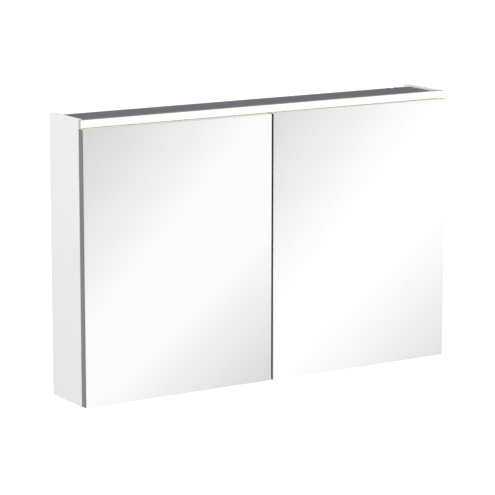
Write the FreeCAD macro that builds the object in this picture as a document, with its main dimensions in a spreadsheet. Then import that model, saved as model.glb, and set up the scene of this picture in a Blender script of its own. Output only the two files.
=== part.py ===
import FreeCAD
import Part
import Sketcher
import math
import os
import re

# Lighted mirror cabinet, millimetres. X runs to the right from the middle, Y = 0 is the wall and the front
# looks to -Y, Z = 0 is the line of the two wall screws and Z points up.

SIZES = {
    # Whole cabinet
    "cabinet_width": 1000.0,
    "cabinet_height": 660.0,
    "body_depth": 140.0,
    "hang_drop": 60.0,
    # Carcass boards
    "side_thickness": 12.0,
    "panel_thickness": 12.0,
    "back_thickness": 6.0,
    "groove_depth": 5.0,
    "rail_thickness": 16.0,
    "rail_height": 60.0,
    "wall_hole_inset": 100.0,
    "wall_hole_radius": 4.0,
    "edge_round": 0.8,
    "fit_clearance": 0.2,
    "press_clearance": 0.02,
    "dowel_radius": 3.0,
    "dowel_short": 8.0,
    "dowel_long": 16.0,
    "dowel_setback": 30.0,
    "dowel_rear": 45.0,
    "rail_dowel_rise": 15.0,
    # Doors
    "door_gap": 2.0,
    "door_thickness": 20.0,
    "door_reveal": 2.0,
    "door_split": 4.5,
    "frame_wall": 1.5,
    "frame_round": 0.4,
    "mirror_thickness": 4.0,
    "mirror_bevel": 0.6,
    "hinge_strip": 52.0,
    "bumper_radius": 4.0,
    "bumper_inset": 40.0,
    "bumper_rise": 7.0,
    # Hinges
    "hinge_inset": 110.0,
    "pivot_inset": 5.5,
    "pin_radius": 2.0,
    "pin_length": 24.0,
    "pin_clearance": 0.05,
    "boss_radius": 3.7,
    "arm_offset": 12.5,
    "arm_thickness": 4.0,
    "arm_under": 0.5,
    "arm_over": 4.2,
    "arm_corner": 3.0,
    "arm_width": 15.8,
    "arm_reach": 45.0,
    "arm_screw_back": 30.0,
    "arm_screw_radius": 2.5,
    "arm_screw_head_radius": 4.5,
    "arm_screw_head": 2.5,
    "arm_screw_bite": 4.0,
    "arm_clearance": 0.3,
    "plate_front": 14.0,
    "plate_length": 34.0,
    "plate_height": 17.0,
    "wing_front": 24.0,
    "wing_length": 14.0,
    "wing_height": 44.0,
    "wing_thickness": 2.5,
    "plate_screw_rise": 16.0,
    "cup_reach": 22.5,
    "cup_far_wall": 2.5,
    "cup_height": 26.0,
    "cup_floor": 0.8,
    "flange_height": 54.0,
    "flange_reach": 26.5,
    "flange_thickness": 1.2,
    "cup_screw_rise": 21.0,
    "cup_screw_in": 13.0,
    "flat_head": 0.7,
    "screw_radius": 1.75,
    "screw_head_radius": 3.1,
    "screw_head": 2.0,
    "screw_bite": 9.0,
    # Shelves
    "shelf_thickness": 5.0,
    "shelf_setback": 20.0,
    "shelf_rear": 26.0,
    "shelf_side_gap": 1.0,
    "shelf_round": 0.8,
    "shelf_step": 32.0,
    "shelf_pin_radius": 2.5,
    "shelf_pin_sunk": 5.0,
    "shelf_pin_proud": 8.0,
    "shelf_pin_setback": 35.0,
    "shelf_pin_rear": 45.0,
    # Light
    "light_height": 18.0,
    "light_depth": 12.0,
    "diffuser_wall": 2.0,
    "diffuser_round": 1.5,
    "end_cap_thickness": 2.0,
    "end_cap_plug": 6.0,
    "profile_wall": 1.6,
    "foot_depth": 25.0,
    "lip_depth": 12.0,
    "board_height": 10.0,
    "board_thickness": 1.0,
    "board_end_gap": 12.0,
    "chip_length": 3.5,
    "chip_height": 2.8,
    "chip_thickness": 0.8,
    "chip_end_gap": 8.0,
    "chip_count": 60,
    "foot_screw_back": 15.0,
    "foot_screw_inset": 80.0,
    # Top cover and electrics bay
    "cover_thickness": 1.5,
    "cover_drop": 4.0,
    "cover_flange": 14.0,
    "bay_height": 26.5,
    "cover_screw_back": 7.0,
    "cover_screw_inset": 120.0,
    "notch_inset": 65.0,
    "notch_width": 22.0,
    "notch_depth": 12.0,
    "grommet_wall": 2.0,
    "grommet_lip": 2.0,
    "grommet_lip_height": 1.2,
    "grommet_skirt": 3.0,
    "driver_length": 180.0,
    "driver_depth": 45.0,
    "driver_height": 22.0,
    "driver_round": 1.5,
    "ear_length": 12.0,
    "ear_depth": 18.0,
    "ear_thickness": 2.5,
    "block_length": 36.0,
    "block_overlap": 15.0,
    "block_depth": 24.0,
    "block_height": 18.0,
    "block_pitch": 10.0,
    "entry_radius": 2.5,
    "entry_depth": 8.0,
    "clamp_radius": 2.0,
    "clamp_depth": 6.0,
    "lead_radius": 2.5,
    "lead_aside": 40.0,
    "lead_rise": 10.0,
    "lead_climb": 12.0,
    "lead_bend": 15.0,
    "lead_straight": 7.0,
    "lead_hole_gap": 0.5,
    "supply_lead_length": 87.0,
    "supply_lead_in": 10.0,
    "switch_lead_radius": 2.0,
    "switch_lead_rise": 4.0,
    "switch_lead_length": 9.0,
    # Switch
    "switch_setback": 38.0,
    "barrel_radius": 8.0,
    "barrel_rise": 8.0,
    "bezel_radius": 11.0,
    "bezel_height": 2.0,
    "button_radius": 6.0,
    "button_gap": 0.3,
    "button_proud": 3.0,
    "button_length": 13.0,
    "button_well": 14.0,
}

doc = FreeCAD.newDocument("lighted_mirror_cabinet")
sheet = doc.addObject("Spreadsheet::Sheet", "sizes")
for row, (word, value) in enumerate(SIZES.items(), 1):
    sheet.set(f"A{row}", word)
    sheet.set(f"B{row}", str(value))
    sheet.setAlias(f"B{row}", word)
doc.recompute()

# Places that several pieces share, as formulas of the sizes
LEFT = "-cabinet_width / 2"
INNER = f"({LEFT} + side_thickness)"
BOTTOM = "(hang_drop - cabinet_height)"
TOP = "hang_drop"
FLOOR = f"({BOTTOM} + panel_thickness)"
BACK = "(rail_thickness + back_thickness)"
COVER_TOP = f"({TOP} - cover_drop)"
COVER_UNDER = f"({COVER_TOP} - cover_thickness)"
BAY_FLOOR = f"({COVER_UNDER} - bay_height)"
CEILING = f"({BAY_FLOOR} - panel_thickness)"
DOOR_BACK = "(body_depth + door_gap)"
DOOR_BOTTOM = f"({BOTTOM} + door_reveal)"
DOOR_MIDDLE = "(-door_split / 2)"
RIM = "(frame_wall + fit_clearance)"
LIGHT_UNDER = f"({TOP} - light_height)"
DOOR_TOP = f"({LIGHT_UNDER} - door_reveal)"
LIGHT_FRONT = "(body_depth + light_depth)"
WEB_FRONT = "(body_depth + profile_wall)"
PIVOT_X = f"({LEFT} + pivot_inset)"
PIVOT_Y = "(-body_depth - door_gap - door_thickness / 2)"
HINGE_LOW = f"({DOOR_BOTTOM} + hinge_inset)"
HINGE_HIGH = f"({DOOR_TOP} - hinge_inset)"
PLATE_THICKNESS = "(arm_offset + pivot_inset - side_thickness)"
CUP_LEFT = f"({LEFT} + {RIM})"
SHELF_STEP_UP = f"(({CEILING} - {FLOOR} + shelf_thickness) / 3)"
LOW_SHELF = f"({FLOOR} + {SHELF_STEP_UP} - shelf_thickness)"
HIGH_SHELF = f"({LOW_SHELF} + {SHELF_STEP_UP})"
LEAD_LOW = f"({BAY_FLOOR} + lead_rise)"
LEAD_HIGH = f"({LEAD_LOW} + lead_climb)"
PRESS_SCREW = "screw_radius + press_clearance"
PIN_FRONT = "body_depth - shelf_pin_setback"
DOWEL_FRONT = "body_depth - dowel_setback"
FOOT_SCREW = "(cabinet_width / 2 - foot_screw_inset)"
COVER_SCREW = "(cabinet_width / 2 - cover_screw_inset)"
NOTCH = "(cabinet_width / 2 - notch_inset)"
DRIVER_END = f"({NOTCH} - block_length / 2 - supply_lead_length)"
DRIVER = f"({DRIVER_END} - driver_length / 2)"
SWITCH_BACK = "(body_depth - switch_setback)"
DRIVER_FRONT = f"({SWITCH_BACK} - barrel_radius - switch_lead_length)"
BLOCK_FRONT = f"({DRIVER_FRONT} - driver_depth + block_overlap)"
LED_LEAD = f"({DRIVER} - lead_aside)"


def sized(formula):
    """Points each size in a formula at its cell in the sheet."""
    return re.sub(r"[a-z_]+", lambda found: "sizes." + found.group(), formula)


def new_body(name):
    """Starts an empty body."""
    made = doc.addObject("PartDesign::Body", name)
    made.Label = name
    return made


def sketch_on(body, role, offset="0"):
    """Starts a sketch on one of the body's origin planes, moved along the plane's normal."""
    plane = next(item for item in body.Origin.OriginFeatures if item.Role == role)
    made = body.newObject("Sketcher::SketchObject", body.Name + "_sketch")
    made.AttachmentSupport = [(plane, "")]
    made.MapMode = "FlatFace"
    made.setExpression("AttachmentOffset.Base.z", sized(offset))
    return made


def hold(sketch, shape, point, x, y):
    """Sets both coordinates of one point of a sketch."""
    for kind, axis, formula in (("DistanceX", -2, x), ("DistanceY", -1, y)):
        if formula == "0":
            sketch.addConstraint(Sketcher.Constraint("PointOnObject", shape, point, axis))
            continue
        at = sketch.getPoint(shape, point)
        start = at.x if kind == "DistanceX" else at.y
        number = sketch.addConstraint(Sketcher.Constraint(kind, -1, 1, shape, point, start))
        sketch.setExpression(f"Constraints[{number}]", sized(formula))


def polygon(sketch, corners):
    """Draws a closed outline through corners given as pairs of formulas."""
    first = sketch.GeometryCount
    count = len(corners)
    turn = 2 * math.pi / count
    rough = [FreeCAD.Vector(50 * math.cos(turn * k), 50 * math.sin(turn * k), 0) for k in range(count)]
    for k in range(count):
        sketch.addGeometry(Part.LineSegment(rough[k], rough[(k + 1) % count]))
    for k in range(count):
        following = first + (k + 1) % count
        sketch.addConstraint(Sketcher.Constraint("Coincident", first + k, 2, following, 1))
    for k, (x, y) in enumerate(corners):
        hold(sketch, first + k, 1, x, y)


def rectangle(sketch, left, low, right, high):
    """Draws a rectangle between two corners."""
    polygon(sketch, [(left, low), (right, low), (right, high), (left, high)])


def circle(sketch, x, y, radius):
    """Draws a circle."""
    number = sketch.addGeometry(Part.Circle(FreeCAD.Vector(9, 9, 0), FreeCAD.Vector(0, 0, 1), 5))
    hold(sketch, number, 3, x, y)
    size = sketch.addConstraint(Sketcher.Constraint("Radius", number, 5))
    sketch.setExpression(f"Constraints[{size}]", sized(radius))


def extrude(kind, body, sketch, length, reverse=False, both=False):
    """Pads or pockets a sketch; both spreads the length to the two sides of the sketch."""
    made = body.newObject("PartDesign::" + kind, body.Name + "_" + kind.lower())
    made.Profile = sketch
    made.setExpression("Length", sized(length))
    made.Reversed = reverse
    if both:
        made.SideType = "Symmetric"
    sketch.Visibility = False
    return made


def slab(name, role, offset, length, left, low, right, high, both=False):
    """Makes a rectangular board or block."""
    body = new_body(name)
    outline = sketch_on(body, role, offset)
    rectangle(outline, left, low, right, high)
    extrude("Pad", body, outline, length, both=both)
    return body


def bores(body, role, offset, circles, depth, onward=False, both=False):
    """Sinks round holes; onward drills along the plane's normal and not against it."""
    outline = sketch_on(body, role, offset)
    for x, y, radius in circles:
        circle(outline, x, y, radius)
    extrude("Pocket", body, outline, depth, onward, both)


def cut(body, role, offset, corners, depth, onward=False, both=False):
    """Cuts a rectangle out of a body."""
    outline = sketch_on(body, role, offset)
    rectangle(outline, *corners)
    extrude("Pocket", body, outline, depth, onward, both)


def edge_names(feature, test):
    """Lists the edges of a feature whose middle passes a test."""
    doc.recompute()
    return [
        f"Edge{number}"
        for number, edge in enumerate(feature.Shape.Edges, 1)
        if test(edge.CenterOfMass)
    ]


def dress(kind, body, size, test=None):
    """Rounds or bevels all edges of a body, or those that pass a test."""
    base = body.Tip
    names = edge_names(base, test) if test else [""]
    made = body.newObject("PartDesign::" + kind, body.Name + "_" + kind.lower())
    made.Base = (base, names)
    made.UseAllEdges = test is None
    made.setExpression("Radius" if kind == "Fillet" else "Size", sized(size))
    return made


def turned(name, role, axis, corners):
    """Turns an outline about an axis of its sketch."""
    body = new_body(name)
    outline = sketch_on(body, role)
    polygon(outline, corners)
    made = body.newObject("PartDesign::Revolution", name + "_turn")
    made.Profile = outline
    made.ReferenceAxis = (outline, [axis])
    made.Angle = 360
    outline.Visibility = False
    return body


def group(name, master, places):
    """Repeats one piece at several places as one group of solids."""
    links = []
    for x, y, z in places:
        link = doc.addObject("App::Link", name + "_item")
        link.LinkedObject = master
        link.setExpression("Placement.Base.x", sized(x))
        link.setExpression("Placement.Base.y", sized(y))
        link.setExpression("Placement.Base.z", sized(z))
        links.append(link)
    made = doc.addObject("Part::Compound", name)
    made.Label = name
    made.Links = links
    return made


def mirrored(name, source):
    """Makes the right hand twin of a left hand piece."""
    made = doc.addObject("Part::Mirroring", name)
    made.Label = name
    made.Source = source
    made.Normal = FreeCAD.Vector(1, 0, 0)
    return made


nodes = []

# Side panels: grooved for the back panel, bored for dowels, shelf pins and hinge plates
left_side = slab("left_side_panel", "YZ_Plane", LEFT, "side_thickness", "-body_depth", BOTTOM, "0", TOP)
dress("Fillet", left_side, "edge_round")
cut(left_side, "YZ_Plane", INNER, (f"-{BACK}", FLOOR, "-rail_thickness", COVER_TOP), "groove_depth")
PIN_ROWS = [
    (f"-({place})", f"{shelf} - shelf_pin_radius {step}", "shelf_pin_radius + press_clearance")
    for place in (PIN_FRONT, "shelf_pin_rear")
    for shelf in (LOW_SHELF, HIGH_SHELF)
    for step in ("- shelf_step", "", "+ shelf_step")
]
bores(left_side, "YZ_Plane", INNER, PIN_ROWS, "shelf_pin_sunk")
END_DOWELS = [
    (f"-({place})", f"{board} + panel_thickness / 2", "dowel_radius + press_clearance")
    for place in (DOWEL_FRONT, "dowel_rear")
    for board in (BOTTOM, CEILING)
]
RAIL_DOWELS = [
    ("-rail_thickness / 2", side + "rail_dowel_rise", "dowel_radius + press_clearance")
    for side in ("", "-")
]
bores(left_side, "YZ_Plane", INNER, END_DOWELS + RAIL_DOWELS, "dowel_short")
PLATE_SCREWS = [
    ("-body_depth + wing_front + wing_length / 2", f"{hinge} {side} plate_screw_rise", PRESS_SCREW)
    for hinge in (HINGE_LOW, HINGE_HIGH)
    for side in "+-"
]
bores(left_side, "YZ_Plane", INNER, PLATE_SCREWS, "screw_bite")
nodes += [left_side, mirrored("right_side_panel", left_side)]

# Bottom panel
bottom = slab("bottom_panel", "XY_Plane", BOTTOM, "panel_thickness", INNER, "-body_depth", f"-{INNER}", "0")
dress("Fillet", bottom, "edge_round")
PARTITION_DOWELS = [
    ("0", f"-({place})", "dowel_radius + press_clearance") for place in (DOWEL_FRONT, "dowel_rear")
]
bores(bottom, "YZ_Plane", INNER, END_DOWELS[0::2], "dowel_long", onward=True)
bores(bottom, "YZ_Plane", f"-{INNER}", END_DOWELS[0::2], "dowel_long")
bores(bottom, "XY_Plane", FLOOR, PARTITION_DOWELS, "dowel_short")
nodes.append(bottom)

# Ceiling panel: carries the light and the electrics, and takes the switch
ceiling = slab(
    "ceiling_panel", "XY_Plane", CEILING, "panel_thickness", INNER, "-body_depth", f"-{INNER}", f"-{BACK}"
)
dress("Fillet", ceiling, "edge_round")
bores(ceiling, "YZ_Plane", INNER, END_DOWELS[1::2], "dowel_long", onward=True)
bores(ceiling, "YZ_Plane", f"-{INNER}", END_DOWELS[1::2], "dowel_long")
bores(ceiling, "XY_Plane", CEILING, PARTITION_DOWELS, "dowel_short", onward=True)
SWITCH_HOLE = (DRIVER, f"-{SWITCH_BACK}", "barrel_radius + fit_clearance")
bores(ceiling, "XY_Plane", BAY_FLOOR, [SWITCH_HOLE], "panel_thickness")
FOOT_SCREWS = [
    (side + place, "-body_depth + foot_screw_back", PRESS_SCREW)
    for place in (FOOT_SCREW + " / 3", FOOT_SCREW)
    for side in ("", "-")
]
DRIVER_EARS = "(driver_length + ear_length) / 2"
BLOCK_EARS = "(block_length + ear_length) / 2"
DRIVER_MIDDLE = f"(-{DRIVER_FRONT} + driver_depth / 2)"
BLOCK_MIDDLE = f"(-{BLOCK_FRONT} + block_depth / 2)"
EAR_SCREWS = [
    (f"{DRIVER} - {DRIVER_EARS}", DRIVER_MIDDLE, PRESS_SCREW),
    (f"{DRIVER} + {DRIVER_EARS}", DRIVER_MIDDLE, PRESS_SCREW),
    (f"{NOTCH} - {BLOCK_EARS}", BLOCK_MIDDLE, PRESS_SCREW),
    (f"{NOTCH} + {BLOCK_EARS}", BLOCK_MIDDLE, PRESS_SCREW),
]
bores(ceiling, "XY_Plane", BAY_FLOOR, FOOT_SCREWS + EAR_SCREWS, "screw_bite")
nodes.append(ceiling)

# Centre partition
partition = slab(
    "centre_partition",
    "YZ_Plane",
    "-panel_thickness / 2",
    "panel_thickness",
    "-body_depth",
    FLOOR,
    f"-{BACK}",
    CEILING,
)
dress("Fillet", partition, "edge_round")
bores(partition, "YZ_Plane", "panel_thickness / 2", PIN_ROWS, "shelf_pin_sunk")
bores(partition, "YZ_Plane", "-panel_thickness / 2", PIN_ROWS, "shelf_pin_sunk", onward=True)
bores(partition, "XY_Plane", FLOOR, PARTITION_DOWELS, "dowel_long", onward=True)
bores(partition, "XY_Plane", CEILING, PARTITION_DOWELS, "dowel_long")
nodes.append(partition)

# Back panel in the grooves of the sides, with the wall holes and the way in for the supply cable
BACK_EDGE = f"{INNER} - groove_depth + fit_clearance"
back = slab(
    "back_panel",
    "XZ_Plane",
    "rail_thickness",
    "back_thickness",
    BACK_EDGE,
    FLOOR,
    f"-({BACK_EDGE})",
    COVER_TOP,
)
WALL_HOLES = [
    (f"{side}(cabinet_width / 2 - wall_hole_inset)", "0", "wall_hole_radius") for side in ("", "-")
]
bores(back, "XZ_Plane", "rail_thickness", WALL_HOLES, "back_thickness", onward=True)
NOTCH_LEFT = f"{NOTCH} - notch_width / 2"
NOTCH_RIGHT = f"{NOTCH} + notch_width / 2"
cut(
    back,
    "XZ_Plane",
    "rail_thickness",
    (NOTCH_LEFT, f"{COVER_TOP} - cover_flange", NOTCH_RIGHT, TOP),
    "back_thickness",
    onward=True,
)
REAR_SCREW_Z = f"{COVER_TOP} - cover_flange / 2"
COVER_SCREWS = (f"-{COVER_SCREW}", "0", COVER_SCREW)
REAR_SCREWS = [(place, REAR_SCREW_Z, PRESS_SCREW) for place in COVER_SCREWS]
bores(back, "XZ_Plane", "rail_thickness", REAR_SCREWS, "back_thickness", onward=True)
nodes.append(back)

# Hanging rail behind the back panel, drilled on the wall screw line
rail = slab(
    "hanging_rail",
    "XZ_Plane",
    "0",
    "rail_thickness",
    INNER,
    "-rail_height / 2",
    f"-{INNER}",
    "rail_height / 2",
)
dress("Fillet", rail, "edge_round")
bores(rail, "XZ_Plane", "0", WALL_HOLES, "rail_thickness", onward=True)
bores(rail, "YZ_Plane", INNER, RAIL_DOWELS, "dowel_long", onward=True)
bores(rail, "YZ_Plane", f"-{INNER}", RAIL_DOWELS, "dowel_long")
nodes.append(rail)

# Dowels: along X between boards and sides, along Z at the ends of the partition
DOWEL_SPAN = "dowel_short + dowel_long - 2 * fit_clearance"
dowel_across = new_body("dowel_across")
outline = sketch_on(dowel_across, "YZ_Plane", "-dowel_short + fit_clearance")
circle(outline, "0", "0", "dowel_radius")
extrude("Pad", dowel_across, outline, DOWEL_SPAN)
dowel_back = new_body("dowel_back")
outline = sketch_on(dowel_back, "YZ_Plane", "dowel_short - fit_clearance")
circle(outline, "0", "0", "dowel_radius")
extrude("Pad", dowel_back, outline, DOWEL_SPAN, reverse=True)
dowel_up = new_body("dowel_up")
outline = sketch_on(dowel_up, "XY_Plane", "-dowel_short + fit_clearance")
circle(outline, "0", "0", "dowel_radius")
extrude("Pad", dowel_up, outline, DOWEL_SPAN)
dowel_down = new_body("dowel_down")
outline = sketch_on(dowel_down, "XY_Plane", "dowel_short - fit_clearance")
circle(outline, "0", "0", "dowel_radius")
extrude("Pad", dowel_down, outline, DOWEL_SPAN, reverse=True)
dowel_sets = [
    group("dowels_left", dowel_across, [(INNER, y, z) for y, z, _ in END_DOWELS + RAIL_DOWELS]),
    group("dowels_right", dowel_back, [(f"-{INNER}", y, z) for y, z, _ in END_DOWELS + RAIL_DOWELS]),
    group("dowels_low", dowel_up, [(x, y, FLOOR) for x, y, _ in PARTITION_DOWELS]),
    group("dowels_high", dowel_down, [(x, y, CEILING) for x, y, _ in PARTITION_DOWELS]),
]
dowels = doc.addObject("Part::Compound", "carcass_dowels")
dowels.Links = dowel_sets
nodes.append(dowels)

# Glass shelves on pins
for side in ("left", "right"):
    for level, shelf in (("lower", LOW_SHELF), ("upper", HIGH_SHELF)):
        near = "panel_thickness / 2 + shelf_side_gap"
        far = f"-{INNER} - shelf_side_gap"
        span = (near, far) if side == "right" else (f"-({far})", f"-({near})")
        glass = slab(
            f"{level}_{side}_shelf",
            "XY_Plane",
            shelf,
            "shelf_thickness",
            span[0],
            "-body_depth + shelf_setback",
            span[1],
            "-shelf_rear",
        )
        dress("Fillet", glass, "shelf_round")
        nodes.append(glass)
shelf_pin = new_body("shelf_pin")
outline = sketch_on(shelf_pin, "YZ_Plane", "-shelf_pin_sunk + fit_clearance")
circle(outline, "0", "0", "shelf_pin_radius")
extrude("Pad", shelf_pin, outline, "shelf_pin_sunk - fit_clearance + shelf_pin_proud")
shelf_pin_back = new_body("shelf_pin_back")
outline = sketch_on(shelf_pin_back, "YZ_Plane", "shelf_pin_sunk - fit_clearance")
circle(outline, "0", "0", "shelf_pin_radius")
extrude("Pad", shelf_pin_back, outline, "shelf_pin_sunk - fit_clearance + shelf_pin_proud", reverse=True)
PINS_IN_USE = [(y, z) for y, z, _ in PIN_ROWS[1::3]]
pin_sets = [
    group(
        "pins_left",
        shelf_pin,
        [(x, y, z) for x in (INNER, "panel_thickness / 2") for y, z in PINS_IN_USE],
    ),
    group(
        "pins_right",
        shelf_pin_back,
        [(x, y, z) for x in (f"-{INNER}", "-panel_thickness / 2") for y, z in PINS_IN_USE],
    ),
]
pins = doc.addObject("Part::Compound", "shelf_pins")
pins.Links = pin_sets
nodes.append(pins)

# Light housing: a channel between the sides and a web across the full width behind the diffuser
housing = new_body("light_housing")
outline = sketch_on(housing, "YZ_Plane")
polygon(
    outline,
    [
        ("-body_depth", BAY_FLOOR),
        ("-body_depth + foot_depth", BAY_FLOOR),
        ("-body_depth + foot_depth", f"{BAY_FLOOR} + profile_wall"),
        ("-body_depth + profile_wall", f"{BAY_FLOOR} + profile_wall"),
        ("-body_depth + profile_wall", f"{COVER_UNDER} - profile_wall"),
        ("-body_depth + lip_depth", f"{COVER_UNDER} - profile_wall"),
        ("-body_depth + lip_depth", COVER_UNDER),
        ("-body_depth", COVER_UNDER),
    ],
)
extrude("Pad", housing, outline, f"-2 * {INNER} - 2 * fit_clearance", both=True)
outline = sketch_on(housing, "YZ_Plane")
WEB_LOW = f"{LIGHT_UNDER} + diffuser_wall + fit_clearance"
WEB_HIGH = f"{TOP} - diffuser_wall - fit_clearance"
rectangle(outline, f"-{WEB_FRONT}", WEB_LOW, "-body_depth", WEB_HIGH)
extrude("Pad", housing, outline, "cabinet_width - 2 * end_cap_thickness - 2 * end_cap_plug", both=True)
LEAD_HOLE = (LED_LEAD, LEAD_HIGH, "lead_radius + lead_hole_gap")
bores(housing, "XZ_Plane", "body_depth - lip_depth", [LEAD_HOLE], "lip_depth + profile_wall", onward=True)
bores(housing, "XY_Plane", f"{BAY_FLOOR} + profile_wall", FOOT_SCREWS, "profile_wall")
LIP_SCREWS = [(place, "-body_depth + cover_screw_back", PRESS_SCREW) for place in COVER_SCREWS]
bores(housing, "XY_Plane", COVER_UNDER, LIP_SCREWS, "profile_wall")
nodes.append(housing)

# Opal diffuser, open to the rear
diffuser = new_body("light_diffuser")
outline = sketch_on(diffuser, "YZ_Plane")
polygon(
    outline,
    [
        ("-body_depth", LIGHT_UNDER),
        ("-body_depth", f"{LIGHT_UNDER} + diffuser_wall"),
        (f"-{LIGHT_FRONT} + diffuser_wall", f"{LIGHT_UNDER} + diffuser_wall"),
        (f"-{LIGHT_FRONT} + diffuser_wall", f"{TOP} - diffuser_wall"),
        ("-body_depth", f"{TOP} - diffuser_wall"),
        ("-body_depth", TOP),
        (f"-{LIGHT_FRONT}", TOP),
        (f"-{LIGHT_FRONT}", LIGHT_UNDER),
    ],
)
extrude("Pad", diffuser, outline, "cabinet_width - 2 * end_cap_thickness", both=True)
LIGHT_FACE = -SIZES["body_depth"] - SIZES["light_depth"]
LIGHT_MIDDLE = SIZES["hang_drop"] - SIZES["light_height"] / 2


def long_front_edge(at):
    """Tells the upper and lower edge of the light's face."""
    return abs(at.y - LIGHT_FACE) < 0.01 and abs(at.z - LIGHT_MIDDLE) > 1


dress("Fillet", diffuser, "diffuser_round", long_front_edge)
nodes.append(diffuser)

# End caps with a plug inside the diffuser
cap = slab(
    "left_end_cap", "YZ_Plane", LEFT, "end_cap_thickness", f"-{LIGHT_FRONT}", LIGHT_UNDER, "-body_depth", TOP
)
dress("Fillet", cap, "diffuser_round", long_front_edge)
outline = sketch_on(cap, "YZ_Plane", f"{LEFT} + end_cap_thickness")
rectangle(
    outline,
    f"-{LIGHT_FRONT} + diffuser_wall + fit_clearance",
    WEB_LOW,
    "-body_depth",
    WEB_HIGH,
)
extrude("Pad", cap, outline, "end_cap_plug - fit_clearance")
nodes += [cap, mirrored("right_end_cap", cap)]

# LED board on the web, and its chips
BOARD_LOW = f"({TOP} - light_height / 2 - board_height / 2)"
BOARD_LEFT = f"({LEFT} + board_end_gap)"
nodes.append(
    slab(
        "led_board",
        "XZ_Plane",
        WEB_FRONT,
        "board_thickness",
        BOARD_LEFT,
        BOARD_LOW,
        f"-{BOARD_LEFT}",
        f"{BOARD_LOW} + board_height",
    )
)
chips = new_body("led_chips")
chips.AllowCompound = True
outline = sketch_on(chips, "XZ_Plane", f"{WEB_FRONT} + board_thickness")
CHIP_LEFT = f"{BOARD_LEFT} + chip_end_gap"
CHIP_LOW = f"{TOP} - light_height / 2 - chip_height / 2"
rectangle(outline, CHIP_LEFT, CHIP_LOW, f"{CHIP_LEFT} + chip_length", f"{CHIP_LOW} + chip_height")
chip = extrude("Pad", chips, outline, "chip_thickness")
row_of_chips = chips.newObject("PartDesign::LinearPattern", "led_chips_row")
row_of_chips.Originals = [chip]
row_of_chips.Direction = (outline, ["H_Axis"])
row_of_chips.setExpression("Length", sized(f"-2 * ({CHIP_LEFT}) - chip_length"))
row_of_chips.setExpression("Occurrences", sized("chip_count"))
chips.Tip = row_of_chips
nodes.append(chips)

# Top cover: folded sheet with a rear flange and the cable notch
cover = new_body("top_cover")
outline = sketch_on(cover, "YZ_Plane")
polygon(
    outline,
    [
        ("-body_depth", COVER_UNDER),
        (f"-{BACK} - cover_thickness", COVER_UNDER),
        (f"-{BACK} - cover_thickness", f"{COVER_TOP} - cover_flange"),
        (f"-{BACK}", f"{COVER_TOP} - cover_flange"),
        (f"-{BACK}", COVER_TOP),
        ("-body_depth", COVER_TOP),
    ],
)
extrude("Pad", cover, outline, f"-2 * {INNER} - 2 * fit_clearance", both=True)
cut(
    cover,
    "XY_Plane",
    COVER_TOP,
    (NOTCH_LEFT, f"-{BACK} - notch_depth", NOTCH_RIGHT, f"-{BACK} + cover_thickness"),
    "cover_flange",
)
bores(cover, "XY_Plane", COVER_TOP, LIP_SCREWS, "cover_thickness")
HEAD_SEATS = [(x, y, "screw_head_radius + press_clearance") for x, y, _ in LIP_SCREWS]
bores(cover, "XY_Plane", COVER_TOP, HEAD_SEATS, "flat_head")
bores(cover, "XZ_Plane", BACK, REAR_SCREWS, "cover_thickness", onward=True)
nodes.append(cover)

# Grommet that lines the notch
grommet = slab(
    "cable_grommet",
    "XY_Plane",
    f"{COVER_UNDER} - grommet_skirt",
    "grommet_skirt + cover_thickness",
    f"{NOTCH_LEFT} + fit_clearance",
    f"-{BACK} - notch_depth + fit_clearance",
    f"{NOTCH_RIGHT} - fit_clearance",
    f"-{BACK}",
)
outline = sketch_on(grommet, "XY_Plane", COVER_TOP)
rectangle(
    outline,
    f"{NOTCH_LEFT} - grommet_lip",
    f"-{BACK} - notch_depth - grommet_lip",
    f"{NOTCH_RIGHT} + grommet_lip",
    f"-{BACK}",
)
extrude("Pad", grommet, outline, "grommet_lip_height")
cut(
    grommet,
    "XY_Plane",
    f"{COVER_TOP} + grommet_lip_height",
    (
        f"{NOTCH_LEFT} + grommet_wall",
        f"-{BACK} - notch_depth + grommet_wall",
        f"{NOTCH_RIGHT} - grommet_wall",
        f"-{BACK} + grommet_wall",
    ),
    "grommet_skirt + cover_thickness + grommet_lip_height",
)
nodes.append(grommet)

# Screws: pan heads for the bay, flat heads that lie flush in the cover, pan heads from behind
SHANK = "(screw_bite - fit_clearance)"
pan_down = turned(
    "pan_screw",
    "XZ_Plane",
    "V_Axis",
    [
        ("0", f"-{SHANK}"),
        ("screw_radius", f"-{SHANK}"),
        ("screw_radius", "0"),
        ("screw_head_radius", "0"),
        ("screw_head_radius", "screw_head / 2"),
        ("screw_head_radius / 2", "screw_head"),
        ("0", "screw_head"),
    ],
)
FOOT_TOP = f"{BAY_FLOOR} + profile_wall"
nodes.append(group("housing_screws", pan_down, [(x, y, FOOT_TOP) for x, y, _ in FOOT_SCREWS]))
EAR_TOP = f"{BAY_FLOOR} + ear_thickness"
nodes.append(group("electrics_screws", pan_down, [(x, y, EAR_TOP) for x, y, _ in EAR_SCREWS]))
flat_down = turned(
    "flat_screw",
    "XZ_Plane",
    "V_Axis",
    [
        ("0", f"-{SHANK}"),
        ("screw_radius", f"-{SHANK}"),
        ("screw_radius", "-flat_head"),
        ("screw_head_radius", "-flat_head"),
        ("screw_head_radius", "0"),
        ("0", "0"),
    ],
)
nodes.append(group("cover_front_screws", flat_down, [(x, y, COVER_TOP) for x, y, _ in LIP_SCREWS]))
pan_forward = turned(
    "rear_screw",
    "XY_Plane",
    "V_Axis",
    [
        ("0", f"-{SHANK}"),
        ("screw_radius", f"-{SHANK}"),
        ("screw_radius", "0"),
        ("screw_head_radius", "0"),
        ("screw_head_radius", "screw_head / 2"),
        ("screw_head_radius / 2", "screw_head"),
        ("0", "screw_head"),
    ],
)
nodes.append(group("cover_rear_screws", pan_forward, [(x, "-rail_thickness", z) for x, z, _ in REAR_SCREWS]))

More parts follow.
